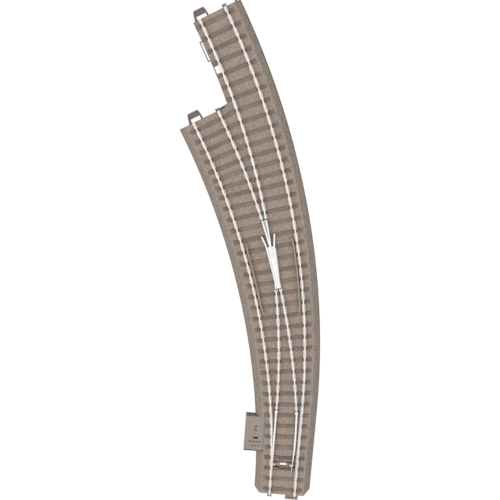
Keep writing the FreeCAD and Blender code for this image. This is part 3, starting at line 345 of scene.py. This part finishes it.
BALLAST = ballast_finish()
WOOD = wood_finish()
# the last colour is the far loops' darker raw plastic with painted shade on the low walls below the deck
SHELL = moulded_finish("bed_plastic", linear(155, 143, 135), linear(142, 129, 120), linear(168, 157, 148),
                       far_tone_and_shade=linear(122, 112, 106))
CHAIR = moulded_finish("chair_plastic", linear(127, 112, 103), linear(108, 94, 86), linear(147, 132, 121),
                       grain=0.2)
GUARD = moulded_finish("guard_plastic", linear(164, 147, 134), linear(150, 132, 120), linear(178, 163, 150),
                       grain=0.25)
INSULATOR = moulded_finish("insulator_plastic", linear(74, 66, 62), linear(58, 51, 48), linear(92, 84, 79),
                           grain=0.2)
BAR = moulded_finish("bar_plastic", linear(142, 127, 118), linear(122, 108, 100), linear(164, 150, 140),
                     grain=0.25, roughness=0.5)
MECHANISM = moulded_finish("mechanism_plastic", linear(84, 75, 70), linear(70, 62, 58), linear(104, 95, 89),
                           grain=0.3, roughness=0.55)
RAIL_INNER = rail_finish("rail_metal_inner", INNER_CENTRE)
RAIL_OUTER = rail_finish("rail_metal_outer", OUTER_CENTRE)
BLADE = rail_finish("blade_metal")
CAST = cast_finish()
PIN = turned_finish("pin_metal", linear(250, 250, 248), linear(226, 222, 216))
SPRING = turned_finish("spring_steel", linear(176, 176, 182), linear(138, 136, 150), 0.4)
SCREW = turned_finish("screw_zinc", linear(188, 190, 192), linear(160, 158, 150), 0.2, 0.32)
JOINER = turned_finish("joiner_metal", linear(136, 131, 126), linear(106, 100, 95), 0.3, 0.45)
CONTACT = turned_finish("contact_metal", linear(206, 192, 160), linear(176, 152, 112), 0.3, 0.3)

# ---------------------------------------------------------------- mesh helpers


def piece(name, points, faces, material, smooth=False, values=None):
    """Mesh object from millimetre points, part of the roadbed and riding on the track."""
    mesh = bpy.data.meshes.new(name)
    mesh.from_pydata((np.asarray(points, float) * MM).tolist(), [], faces)
    for key, (kind, data) in (values or {}).items():
        layer = mesh.attributes.new(key, kind, "POINT")
        field = "vector" if kind == "FLOAT_VECTOR" else "value"
        layer.data.foreach_set(field, np.asarray(data, np.float32).ravel())
    if smooth:
        mesh.polygons.foreach_set("use_smooth", [True] * len(mesh.polygons))
    mesh.materials.append(material)
    mesh.update()
    thing = bpy.data.objects.new(name, mesh)
    bpy.context.scene.collection.objects.link(thing)
    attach(thing, "track")
    return thing


def block(centre, size, turn=0.0):
    """Corner points and faces of a block, its centre and size in millimetres."""
    signs = [(x, y, z) for z in (-1, 1) for y in (-1, 1) for x in (-1, 1)]
    local = np.array(signs, float) * np.array(size) / 2
    cosine, sine = math.cos(turn), math.sin(turn)
    points = local @ np.array([[cosine, sine, 0], [-sine, cosine, 0], [0, 0, 1]]) + np.array(centre)
    faces = [(0, 2, 3, 1), (4, 5, 7, 6), (0, 1, 5, 4), (2, 6, 7, 3), (0, 4, 6, 2), (1, 3, 7, 5)]
    return points, faces


def carve(thing, cutters):
    """Take blocks away from a piece for good."""
    for centre, size, turn in cutters:
        points, faces = block(centre, size, turn)
        mesh = bpy.data.meshes.new("cutter")
        mesh.from_pydata((points * MM).tolist(), [], faces)
        tool = bpy.data.objects.new("cutter", mesh)
        bpy.context.scene.collection.objects.link(tool)
        modifier = thing.modifiers.new("carve", "BOOLEAN")
        modifier.operation = "DIFFERENCE"
        modifier.solver = "EXACT"
        modifier.object = tool
        graph = bpy.context.evaluated_depsgraph_get()
        result = bpy.data.meshes.new_from_object(thing.evaluated_get(graph))
        thing.modifiers.clear()
        thing.data = result
        bpy.data.objects.remove(tool)
        bpy.data.meshes.remove(mesh)


def quads(first, second, third, fourth):
    """Four-sided faces from four equal arrays of point numbers."""
    return [tuple(face) for face in np.stack([first, second, third, fourth], -1).reshape(-1, 4)]


def gather(parts):
    """One list of points and one of faces from many (points, faces) pairs."""
    points, faces, count = [], [], 0
    for part_points, part_faces in parts:
        points.append(part_points)
        faces += [tuple(index + count for index in face) for face in part_faces]
        count += len(part_points)
    return np.concatenate(points), faces


def outer_end_spot(back, offset):
    """Point and turn at a distance back from the outer end, offset to the right of the track."""
    turned = CURVE_ANGLE - back / CURVE_RADIUS
    reach = CURVE_RADIUS + offset
    return OUTER_CENTRE + reach * np.array([math.cos(turned), math.sin(turned)]), turned


# ---------------------------------------------------------------- gravel

STONE_PITCH = 0.72
SHEET_STEP = 0.33
TABLE_SIDE = 256
STONE_TABLE = np.random.default_rng(515).random((TABLE_SIDE, TABLE_SIDE, 5))
SLOPE_STRETCH = 1.43              # stones are laid along the slope, which is longer than its plan
SLOPE_OUT, SLOPE_UP = 0.714, 0.70  # way a stone stands out from the slope
CRUST_LIFT, CRUST_TUCK = 0.04, 0.25  # least height over the bank, and depth under it along the foot


def stones(place):
    """Height of a bed of rounded stones at each flat place, with each stone's own number."""
    cell = np.floor(place / STONE_PITCH).astype(int)
    best = np.zeros(len(place))
    number = np.zeros(len(place))
    for step_x in (-1, 0, 1):
        for step_y in (-1, 0, 1):
            near = cell + (step_x, step_y)
            draw = STONE_TABLE[near[:, 0] % TABLE_SIDE, near[:, 1] % TABLE_SIDE]
            seat = (near + 0.5 + (draw[:, :2] - 0.5) * 0.8) * STONE_PITCH
            reach = STONE_PITCH * (0.55 + 0.3 * draw[:, 2])
            away = place - seat
            lean = draw[:, 3] * math.pi
            along = away[:, 0] * np.cos(lean) + away[:, 1] * np.sin(lean)
            across = away[:, 1] * np.cos(lean) - away[:, 0] * np.sin(lean)
            far = np.sqrt(along ** 2 * 0.75 + across ** 2 * 1.3) / reach
            top = 0.16 + 0.24 * draw[:, 4]
            height = top * np.sqrt(np.clip(1 - far ** 2, 0, 1))
            number = np.where(height > best, (draw[:, 3] * 7.3 + draw[:, 4] * 3.1) % 1.0, number)
            best = np.maximum(best, height)
    return best, number


def bank_height(place):
    """Height of the plain bank and of its nearest branch offset at each flat place."""
    inner = np.abs(np.hypot(*(place - INNER_CENTRE).T) - CURVE_RADIUS)
    curved = np.abs(np.hypot(*(place - OUTER_CENTRE).T) - CURVE_RADIUS)
    outer = np.where(place[:, 1] < LEAD, np.abs(place[:, 0]), curved)
    offset = np.minimum(inner, outer)
    fall = (DECK_TOP - SKIRT_TOP) / (BED_HALF - SHOULDER_HALF)
    return DECK_TOP - np.clip(offset - SHOULDER_HALF, 0, None) * fall, offset


def row_shared(turned):
    """Ends of a row across both branches on a ray from the inner curve's centre."""
    ray = np.array([math.cos(turned), math.sin(turned)])
    outside = CURVE_RADIUS + SHOULDER_HALF
    straight = outside / ray[0]
    curved = LEAD * ray[1] + math.sqrt(outside ** 2 - (LEAD * ray[0]) ** 2)
    far = straight if straight * ray[1] < LEAD else curved
    return INNER_CENTRE + ray * (CURVE_RADIUS - SHOULDER_HALF), INNER_CENTRE + ray * far


def row_single(back):
    """Ends of a row across the outer branch past the inner end, parallel to its end face."""
    ends = []
    for reach in (CURVE_RADIUS - CUT_HALF + 0.05, CURVE_RADIUS + SHOULDER_HALF):
        across = math.sqrt(reach ** 2 - back ** 2)
        ends.append(OUTER_CENTRE + END_SIDE * across - END_AHEAD * back)
    return ends


def gravel_sheet(name, rows, left_slope, cutters):
    """Closed crust of stones over a run of rows, down the slopes on either side."""
    slope_reach = BED_HALF - SHOULDER_HALF - 0.12
    slope_count = int(slope_reach * SLOPE_STRETCH / SHEET_STEP)
    widest = max(np.linalg.norm(right - left) for left, right in rows)
    deck_count = int(widest / SHEET_STEP)
    grid, flat, sides = [], [], []
    for left, right in rows:
        side = (right - left) / np.linalg.norm(right - left)
        deck = left + np.linspace(0, 1, deck_count)[:, None] * (right - left)
        out = np.linspace(0, slope_reach, slope_count)[1:, None]
        parts = [deck, right + out * side]
        unrolled = [deck, right + out * SLOPE_STRETCH * side]
        lean = [0 * deck[:, :1], out * 0 + 1]
        if left_slope:
            parts.insert(0, (left - out * side)[::-1])
            unrolled.insert(0, (left - out * SLOPE_STRETCH * side)[::-1])
            lean.insert(0, out * 0 - 1)
        grid.append(np.concatenate(parts))
        flat.append(np.concatenate(unrolled))
        sides.append(np.concatenate(lean) * side)
    row_count, column_count = len(rows), len(grid[0])
    place, lean = np.concatenate(grid), np.concatenate(sides)
    bottom_z, offset = bank_height(place)
    relief, number = stones(np.concatenate(flat))
    edge = np.clip((offset - (BED_HALF - 1.0)) / 0.88, 0, 1)
    lift = (CRUST_LIFT + relief) * (1 - edge) - CRUST_TUCK * edge
    sloped = np.abs(lean).sum(1) > 0
    outward = np.column_stack([lean * SLOPE_OUT, np.where(sloped, SLOPE_UP, 1.0)])
    top = np.column_stack([place, bottom_z]) + outward * lift[:, None]
    ids = np.arange(row_count * column_count).reshape(row_count, column_count)
    faces = quads(ids[:-1, :-1], ids[:-1, 1:], ids[1:, 1:], ids[1:, :-1])
    # buried underside: corners of the profile only, joined to the sheet by its four edges
    first = slope_count - 1 if left_slope else 0
    corners = sorted({0, first, first + deck_count - 1, column_count - 1})
    under_top = np.column_stack([place, bottom_z - 0.5]).reshape(row_count, column_count, 3)[:, corners]
    under_top[:, 0, :2] += 0.02 * (under_top[:, 1, :2] - under_top[:, 0, :2])
    under = len(top) + np.arange(row_count * len(corners)).reshape(row_count, len(corners))
    for column in range(len(corners) - 1):
        faces += quads(under[:-1, column], under[1:, column], under[1:, column + 1], under[:-1, column + 1])
    faces += quads(ids[1:, 0], under[1:, 0], under[:-1, 0], ids[:-1, 0])
    faces += quads(ids[:-1, -1], under[:-1, -1], under[1:, -1], ids[1:, -1])
    faces.append(tuple(ids[0, ::-1]) + tuple(under[0]))
    faces.append(tuple(ids[-1]) + tuple(under[-1, ::-1]))
    points = np.concatenate([top, under_top.reshape(-1, 3)])
    spare = np.zeros(len(points) - len(top))
    values = {"stone": ("FLOAT", np.concatenate([number, spare])),
              "depth": ("FLOAT", np.concatenate([np.clip(relief / 0.4, 0, 1), spare]))}
    carve(piece(name, points, faces, BALLAST, smooth=True, values=values), cutters)


# bevelled corners of the toe end: side of the track, width across the bank, length along it
TOE_CORNERS = ((-1, 3.0, 2.5), (1, 4.2, 3.4))


def toe_corner(side, across, along):
    """Block outside one bevel of the toe end, a hair inside the moulding's own bevel."""
    length, depth = math.hypot(across, along), 8.0
    shift = depth / 2 - 0.05
    x = side * (BED_HALF - across / 2 + shift * along / length)
    y = along / 2 - shift * across / length
    return (x, y, 5.0), (BED_HALF, depth, 16.0), side * math.atan2(along, across)


END_INSET = 0.03
WINDOW_BACK, WINDOW_OFFSET, WINDOW_SIZE = 33.9, -11.2, (3.2, 6.0, 6.0)


def make_gravel():
    """The crust in lengths, the ones with openings carved."""
    limits = [END_INSET, 13.0, 34.0, 85.0, 130.0, 175.0, 220.0, CURVE_RADIUS * CURVE_ANGLE - END_INSET]
    openings = {0: [toe_corner(*corner) for corner in TOE_CORNERS],
                1: CHANNEL + [LEVER_SPACE],
                2: [LEVER_SPACE]}
    for number, (start, stop) in enumerate(zip(limits, limits[1:])):
        count = int((stop - start) * 1.06 / SHEET_STEP) + 1
        rows = [row_shared(turned) for turned in np.linspace(start, stop, count) / CURVE_RADIUS]
        gravel_sheet(f"gravel_{number + 1}", rows, True, openings.get(number, ()))
    near = LEAD * math.cos(CURVE_ANGLE) + END_INSET
    backs = np.linspace(near, END_INSET, int((near - END_INSET) / SHEET_STEP) + 1)
    spot, turned = outer_end_spot(WINDOW_BACK, WINDOW_OFFSET)
    window = ((*spot, 7.0), WINDOW_SIZE, turned)
    gravel_sheet(f"gravel_{len(limits)}", [row_single(back) for back in backs], False, [window])


# ---------------------------------------------------------------- ties, chairs and slide plates

TIE_WIDTH = 2.7
TIE_HALF = 13.5
FIRST_TIE = 4.0
SHARED_TIES = 29                  # these cross both branches
EVEN_STEPS = 27                   # steps before the pitch changes
INNER_TIES = 35
OUTER_TIES = 42
TIES_BY_BAR = (2, 3)
FRONT_TIES = 20
# pitch of the even steps, then up to a given tie, then past it
INNER_PITCH, INNER_LAST = (7.85, 6.6, 7.2), 30
OUTER_PITCH, OUTER_LAST = (7.95, 7.43, 8.22), 32
PARTED = 17.0                     # branches this far apart have ties square to the line between them
TIE_LEAN = 0.4                    # share of the inner branch's heading before that
FURROW, DRIFT = 0.022, 0.012      # spread of the grain's height across and along a tie
RIM_DROP, EDGE_DROP, END_DROP = 0.16, 0.03, 0.14
TIE_PROUD = 0.035
TIE_TINTS = 0.15                  # tints below this are kept for the dark ties by the bar


def branch_spot(centre_y, distance):
    """Point and heading at a distance along a branch."""
    turned = max(0.0, distance - centre_y) / CURVE_RADIUS
    return np.array([CURVE_RADIUS * math.cos(turned) - CURVE_RADIUS,
                     min(distance, centre_y) + CURVE_RADIUS * math.sin(turned)]), turned


def side_of(turned):
    """Direction to the right of a branch that has turned so far."""
    return np.array([math.cos(turned), math.sin(turned)])


def tie_distance(number, pitches, last):
    """Distance of a tie along its branch."""
    even = min(number, EVEN_STEPS)
    past = max(0, number - last)
    steps = (even, number - even - past, past)
    return FIRST_TIE + sum(pitch * count for pitch, count in zip(pitches, steps))


def tie_lines():
    """(left end, right end) of every tie."""
    lines = []
    for k in range(OUTER_TIES):
        right, right_turn = branch_spot(LEAD, tie_distance(k, OUTER_PITCH, OUTER_LAST))
        if k >= INNER_TIES:
            side = side_of(right_turn)
            lines.append((right - side * (CUT_HALF - 0.2), right + side * TIE_HALF))
            continue
        left, left_turn = branch_spot(0.0, tie_distance(k, INNER_PITCH, INNER_LAST))
        apart = right - left
        distance = float(np.linalg.norm(apart))
        if k < SHARED_TIES:
            across = side_of(TIE_LEAN * left_turn + (1 - TIE_LEAN) * right_turn)
            if distance > PARTED:
                across = apart / distance
            lines.append((left - across * TIE_HALF, right + across * TIE_HALF))
        else:
            half = distance / 2 + 0.4
            lines.append((left - side_of(left_turn) * TIE_HALF, left + side_of(left_turn) * half))
            lines.append((right - side_of(right_turn) * half, right + side_of(right_turn) * TIE_HALF))
    return lines


def tie_block(left, right, number, draw):
    """One tie: crowned top with grain furrows, eased edges and slightly uneven ends."""
    length = float(np.linalg.norm(right - left))
    along = (right - left) / length
    ahead = np.array([-along[1], along[0]])
    steps = max(8, int(length / 0.6))
    half = np.array([0.21, 0.42, 0.62, 0.8, 0.93, 1.0]) * TIE_WIDTH / 2
    across = np.concatenate([-half[::-1], [0.0], half])
    furrow = draw.normal(0, FURROW, len(across))
    furrow[[0, -1]] = -RIM_DROP
    furrow[[1, -2]] = -EDGE_DROP
    drift = np.cumsum(draw.normal(0, DRIFT, (steps + 1, len(across))), axis=0)
    drift -= drift.mean(0)
    ends = np.linspace(0, length, steps + 1)
    points = []
    for i, travel in enumerate(ends):
        close = min(travel, length - travel)
        ease = END_DROP if close < 0.01 else 0.0
        for j, wide in enumerate(across):
            spot = left + along * travel + ahead * wide
            grain_height = np.clip(furrow[j] + drift[i, j] / 2, -0.2, TIE_PROUD)
            points.append((*spot, TIE_TOP - TIE_PROUD + grain_height - ease))
    columns = len(across)
    ids = np.arange(len(points)).reshape(steps + 1, columns)
    rim = list(ids[:, 0]) + list(ids[-1, 1:]) + list(ids[-2::-1, -1]) + list(ids[0, -2:0:-1])
    base = len(points)
    for index in rim:
        points.append((points[index][0], points[index][1], DECK_TOP - 0.45))
    faces = quads(ids[:-1, :-1], ids[1:, :-1], ids[1:, 1:], ids[:-1, 1:])
    count = len(rim)
    faces += [(rim[k], base + k, base + (k + 1) % count, rim[(k + 1) % count]) for k in range(count)]
    faces.append(tuple(range(base + count - 1, base - 1, -1)))
    flat = np.array([p[:2] for p in points])
    grain = np.column_stack([(flat - left) @ along, (flat - left) @ ahead, np.full(len(flat), number * 5.0)])
    tint = 0.0 if number in TIES_BY_BAR else TIE_TINTS + (1 - TIE_TINTS) * draw.random()
    return np.array(points), faces, grain * MM, np.full(len(flat), tint)


def make_ties():
    """All ties in three pieces, carved for the throw bar's channel and the lever box."""
    draw = np.random.default_rng(42)
    made = [tie_block(left, right, number, draw) for number, (left, right) in enumerate(tie_lines())]
    groups = {"ties_by_bar": TIES_BY_BAR,
              "ties_front": [k for k in range(FRONT_TIES) if k not in TIES_BY_BAR],
              "ties_rear": range(FRONT_TIES, len(made))}
    carved = {"ties_by_bar": CHANNEL, "ties_front": [LEVER_SPACE]}
    for name, members in groups.items():
        chosen = [made[k] for k in members]
        points, faces = gather([(m[0], m[1]) for m in chosen])
        values = {"grain": ("FLOAT_VECTOR", np.concatenate([m[2] for m in chosen])),
                  "tint": ("FLOAT", np.concatenate([m[3] for m in chosen]))}
        ties = piece(name, points, faces, WOOD, values=values)
        if name in carved:
            carve(ties, carved[name])


PAST_HEEL = HEEL_Y + 2.0
# each rail: centre of its curve, radius, and the Y range in which it stands on ties
RAILS = {
    "stock_left": (INNER_CENTRE, LEFT, 0.0, math.inf),
    "stock_right": (OUTER_CENTRE, RIGHT, 0.0, math.inf),
    "closure_left": (OUTER_CENTRE, LEFT, PAST_HEEL, FROG_FRONT),
    "closure_right": (INNER_CENTRE, RIGHT, PAST_HEEL, FROG_FRONT + 0.9),
    "branch_inner": (INNER_CENTRE, RIGHT, FROG_BACK - 0.8, math.inf),
    "branch_outer": (OUTER_CENTRE, LEFT, FROG_BACK, math.inf),
}
OUTER_RAILS = {"stock_left": -1, "stock_right": 1}
GAUGE_SIDE, FIELD_SIDE = 1.9, 3.2  # reach of a chair from the middle of its rail
NARROWEST = 0.8                    # rails closer together than twice this have no chair between them
BLADE_TIP = 12.0                   # from here to the heel the blade's side of a stock rail is left clear


def rail_gap(place, centre, radius):
    """How far a place is to the right of a rail."""
    if place[1] < centre[1]:
        return place[0] - (radius - CURVE_RADIUS)
    return math.hypot(*(place - centre)) - radius


def crossings(left, right):
    """(distance along the tie, heading, rail) wherever a rail crosses a tie."""
    length = float(np.linalg.norm(right - left))
    along = (right - left) / length
    found = []
    for name, (centre, radius, first, last) in RAILS.items():
        low, high = 0.0, length
        if rail_gap(left, centre, radius) > 0 or rail_gap(right, centre, radius) < 0:
            continue
        for _ in range(40):
            middle = (low + high) / 2
            if rail_gap(left + along * middle, centre, radius) > 0:
                high = middle
            else:
                low = middle
        spot = left + along * low
        if first <= spot[1] <= last:
            turned = 0.0 if spot[1] < centre[1] else math.atan2(*(spot - centre)[::-1])
            found.append((low, turned, name))
    return sorted(found)


def chair_profile(reach):
    """Cross-section of a chair from the rail's web outward: foot clip, shoulder, bolt seat, toe."""
    return [(0.3, TIE_TOP - 0.1), (0.3, FOOT_TOP + 0.12), (0.55, FOOT_TOP + 0.3), (1.05, FOOT_TOP + 0.26),
            (1.22, FOOT_TOP - 0.02), (1.4, TIE_TOP + 0.24), (reach - 0.1, TIE_TOP + 0.2),
            (reach, TIE_TOP + 0.1), (reach, TIE_TOP - 0.1)]


def chair(spot, turned, outward, reach):
    """Chair on one side of a rail, with its bolt heads."""
    side = side_of(turned) * outward
    ahead = np.array([-math.sin(turned), math.cos(turned)])
    profile = chair_profile(reach)
    half_plan = ((-1.15, -0.12), (-1.03, 0.0), (1.03, 0.0), (1.15, -0.12))
    points = []
    for along, drop in half_plan:
        for away, height in profile:
            z = max(height + drop, TIE_TOP - 0.1) if height > TIE_TOP else height
            points.append((*(spot + side * away + ahead * along), z))
    count = len(profile)
    faces = []
    for strip in range(len(half_plan) - 1):
        for k in range(count):
            a, b = strip * count + k, strip * count + (k + 1) % count
            quad = (a, b, b + count, a + count)
            faces.append(quad if outward > 0 else quad[::-1])
    ends = (tuple(range(count - 1, -1, -1)), tuple(range(3 * count, 4 * count)))
    faces += ends if outward > 0 else [face[::-1] for face in ends]
    parts = [(np.array(points), faces)]
    if reach > 2.5:
        parts += [bolt(spot + side * 1.75 + ahead * shift, 0.26) for shift in (-0.55, 0.55)]
        parts.append(bolt(spot + side * (reach - 0.55), 0.3))
    elif reach > 1.75:
        parts.append(bolt(spot + side * 1.58, 0.2))
    return parts


def stack(spot, rings, sides, stretch=1.0):
    """Closed body over rings of (radius, height), stretched along Y."""
    points, faces = [], []
    for radius, height in rings:
        for k in range(sides):
            turn = k * math.tau / sides
            x = spot[0] + radius * math.cos(turn)
            y = spot[1] + radius * stretch * math.sin(turn)
            points.append((x, y, height))
    for ring in range(len(rings) - 1):
        for k in range(sides):
            a, b = ring * sides + k, ring * sides + (k + 1) % sides
            faces.append((a, b, b + sides, a + sides))
    faces.append(tuple(range(sides - 1, -1, -1)))
    faces.append(tuple(range(len(points) - sides, len(points))))
    return np.array(points), faces


def bolt(spot, wide):
    """Six-sided bolt head with a domed top."""
    rings = ((wide, TIE_TOP + 0.1), (wide, TIE_TOP + 0.42), (wide * 0.6, TIE_TOP + 0.5))
    return stack(spot, rings, 6)


def heel_seat(x):
    """Round-ended seat that a blade heel turns on."""
    rings = ((1.75, DECK_TOP - 0.3), (1.75, TIE_TOP + 0.2), (1.6, TIE_TOP + 0.34))
    return stack((x, HEEL_Y), rings, 24, 1.25)


def make_chairs():
    """Chairs on both sides of every rail at every tie, save where a blade has to pass."""
    parts = []
    for left, right in tie_lines():
        along = (right - left) / np.linalg.norm(right - left)
        found = crossings(left, right)
        for index, (travel, turned, name) in enumerate(found):
            spot = left + along * travel
            for outward in (-1, 1):
                neighbour = index + outward
                space = math.inf
                if 0 <= neighbour < len(found):
                    space = abs(found[neighbour][0] - travel) / 2
                by_blade = OUTER_RAILS.get(name) == -outward and BLADE_TIP < spot[1] < PAST_HEEL
                if by_blade or space < NARROWEST:
                    continue
                widest = FIELD_SIDE if OUTER_RAILS.get(name) == outward else GAUGE_SIDE
                parts += chair(spot, turned, outward, min(widest, max(1.25, space)))
    for x in (-RAIL_OFFSET, HEEL_RIGHT_X):
        parts.append(heel_seat(x))
    points, faces = gather(parts)
    piece("rail_chairs", points, faces, CHAIR)


def bevelled(centre, size, bevel):
    """Block whose top is drawn in on all four sides."""
    points, faces = block(centre, size)
    points[4:, :2] += np.where(points[4:, :2] > centre[:2], -bevel, bevel)
    return points, faces


def make_slide_plates():
    """Low bevelled plates on the ties that the blades slide on."""
    parts = []
    thick, to_rail, bevel = 0.36, 1.25, 0.12
    for k in range(2, 8):
        y = tie_distance(k, OUTER_PITCH, OUTER_LAST)
        travel = BLADE_SWING * (HEEL_Y - y)
        stock_left = math.sqrt(LEFT ** 2 - y ** 2) - CURVE_RADIUS
        blade_right = math.sqrt(RIGHT ** 2 - y ** 2) - CURVE_RADIUS
        for left, right in ((stock_left + to_rail, travel + 1.0 - GAUGE / 2),
                            (blade_right - travel - 1.5, RAIL_OFFSET - to_rail)):
            centre = ((left + right) / 2, y, TIE_TOP + thick / 2 - 0.05)
            parts.append(bevelled(centre, (right - left, TIE_WIDTH - 0.4, thick + 0.1), bevel))
    points, faces = gather(parts)
    carve(piece("slide_plates", points, faces, CHAIR), CHANNEL[:2])


def make_deck_mark():
    """Small square stud moulded beside the right rail."""
    points, faces = bevelled((12.5, 31.2, DECK_TOP + 0.35), (1.5, 1.5, 0.9), 0.2)
    piece("deck_mark", points, faces, CHAIR)


# ---------------------------------------------------------------- shell of the roadbed


def make_shell():
    """The CAD moulding without its plain ties, which the grained ties stand for."""
    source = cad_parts["roadbed"]
    shape = bmesh.new()
    shape.from_mesh(source.data)
    bmesh.ops.remove_doubles(shape, verts=shape.verts, dist=1e-7)
    level = (DECK_TOP + 0.02) * MM
    bmesh.ops.bisect_plane(shape, geom=shape.verts[:] + shape.edges[:] + shape.faces[:], dist=1e-8,
                           plane_co=(0, 0, level), plane_no=(0, 0, 1), clear_outer=True)
    rims = [edge for edge in shape.edges if len(edge.link_faces) == 1]
    bmesh.ops.holes_fill(shape, edges=rims, sides=0)
    bmesh.ops.dissolve_limit(shape, angle_limit=math.radians(0.5), verts=shape.verts, edges=shape.edges)
    mesh = bpy.data.meshes.new("roadbed_shell")
    shape.to_mesh(mesh)
    shape.free()
    mesh.materials.clear()
    mesh.materials.append(SHELL)
    shell = bpy.data.objects.new("roadbed_shell", mesh)
    bpy.context.scene.collection.objects.link(shell)
    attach(shell, "track")
    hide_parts("roadbed")


# ---------------------------------------------------------------- finishes of the carried CAD nodes

NODE_FINISHES = {
    "stock_rail_left": RAIL_INNER, "closure_rail_right": RAIL_INNER, "branch_rail_inner": RAIL_INNER,
    "stock_rail_right": RAIL_OUTER, "closure_rail_left": RAIL_OUTER, "branch_rail_outer": RAIL_OUTER,
    "switch_blade_left": BLADE, "switch_blade_right": BLADE, "frog_casting": CAST,
    "insulating_joints": INSULATOR, "guard_rail_left": GUARD, "guard_rail_right": GUARD, "lever_bush": GUARD,
    "heel_pin_left": PIN, "heel_pin_right": PIN, "blade_pin_left": PIN, "blade_pin_right": PIN,
    "throw_bar": BAR, "drive_slide": MECHANISM, "hand_lever": BAR, "mechanism_cover": MECHANISM,
    "detent_spring": SPRING, "cover_screws": SCREW,
    "feeder_left_front": CONTACT, "feeder_right_front": CONTACT, "feeder_left_rear": CONTACT,
    "feeder_right_rear": CONTACT, "rail_joiner_toe": JOINER, "rail_joiner_inner": JOINER,
    "rail_joiner_outer": JOINER,
}


def finish_nodes():
    """Give every carried CAD node its material."""
    for name, material in NODE_FINISHES.items():
        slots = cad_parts[name].data.materials
        slots.clear()
        slots.append(material)


# ---------------------------------------------------------------- table, light and camera


def make_table():
    """Pale table under the object."""
    half = 3000.0
    mesh = bpy.data.meshes.new("table")
    corners = [(-half, -half), (half, -half), (half, half), (-half, half)]
    mesh.from_pydata([(x * MM, y * MM, -0.02 * MM) for x, y in corners], [], [(0, 1, 2, 3)])
    mesh.materials.append(floor_finish())
    table = bpy.data.objects.new("table", mesh)
    bpy.context.scene.collection.objects.link(table)


HORIZON_LIGHT, CEILING_LIGHT, KEY_POWER = 0.3, 1.15, 3.5
# places of the lamps, their aim and the camera in metres; the camera's turn in degrees
AIM = (-0.03, 0.16, 0.0)
KEY_PLACE, FILL_PLACE, LAMP_SIZE = (-0.75, -0.1, 1.1), (0.9, 0.5, 1.2), 0.9
CAMERA_PLACE, CAMERA_TURN, CAMERA_LENS = (-0.0315, 0.29362, 0.56855), (-12.08155, 1.21391, 4.10333), 62.717


def soft_light(name, place, power):
    """Large round lamp turned to the object."""
    lamp = bpy.data.lights.new(name, "AREA")
    lamp.shape = "DISK"
    lamp.size = LAMP_SIZE
    lamp.energy = power
    light = bpy.data.objects.new(name, lamp)
    light.location = place
    light.rotation_mode = "QUATERNION"
    light.rotation_quaternion = (Vector(AIM) - Vector(place)).to_track_quat("-Z", "Y")
    bpy.context.scene.collection.objects.link(light)


def make_light():
    """White room with a large lamp high on the left and a weaker one on the right."""
    world = bpy.data.worlds.new("white_room")
    world.use_nodes = True
    tree = world.node_tree
    height = tree.nodes.new("ShaderNodeSeparateXYZ")
    tree.links.new(tree.nodes.new("ShaderNodeTexCoord").outputs["Generated"], height.inputs[0])
    ceiling = tree.nodes.new("ShaderNodeMapRange")
    tree.links.new(height.outputs[2], ceiling.inputs[0])
    for index, number in enumerate((0.0, 1.0, HORIZON_LIGHT, CEILING_LIGHT), start=1):
        ceiling.inputs[index].default_value = number
    seen = tree.nodes.new("ShaderNodeMix")
    tree.links.new(tree.nodes.new("ShaderNodeLightPath").outputs["Is Camera Ray"], seen.inputs[0])
    tree.links.new(ceiling.outputs[0], seen.inputs[2])
    seen.inputs[3].default_value = 1.0
    tree.links.new(seen.outputs[0], tree.nodes["Background"].inputs[1])
    tree.nodes["Background"].inputs[0].default_value = (1.0, 1.0, 1.0, 1.0)
    bpy.context.scene.world = world
    soft_light("key", KEY_PLACE, KEY_POWER)
    soft_light("fill", FILL_PLACE, KEY_POWER / 4)
    view = bpy.context.scene.view_settings
    view.view_transform = "Standard"
    view.look = "None"


def make_camera():
    """Camera above the middle of the track, looking almost straight down."""
    camera = bpy.data.cameras.new("camera")
    camera.sensor_width = 36.0
    camera.lens = CAMERA_LENS
    camera.clip_start = 0.01
    camera.clip_end = 20.0
    eye = bpy.data.objects.new("camera", camera)
    eye.location = CAMERA_PLACE
    eye.rotation_euler = [math.radians(angle) for angle in CAMERA_TURN]
    bpy.context.scene.collection.objects.link(eye)
    bpy.context.scene.camera = eye


# ---------------------------------------------------------------- everything together

make_shell()
make_gravel()
make_ties()
make_chairs()
make_slide_plates()
make_deck_mark()
finish_nodes()
make_table()
make_light()
make_camera()
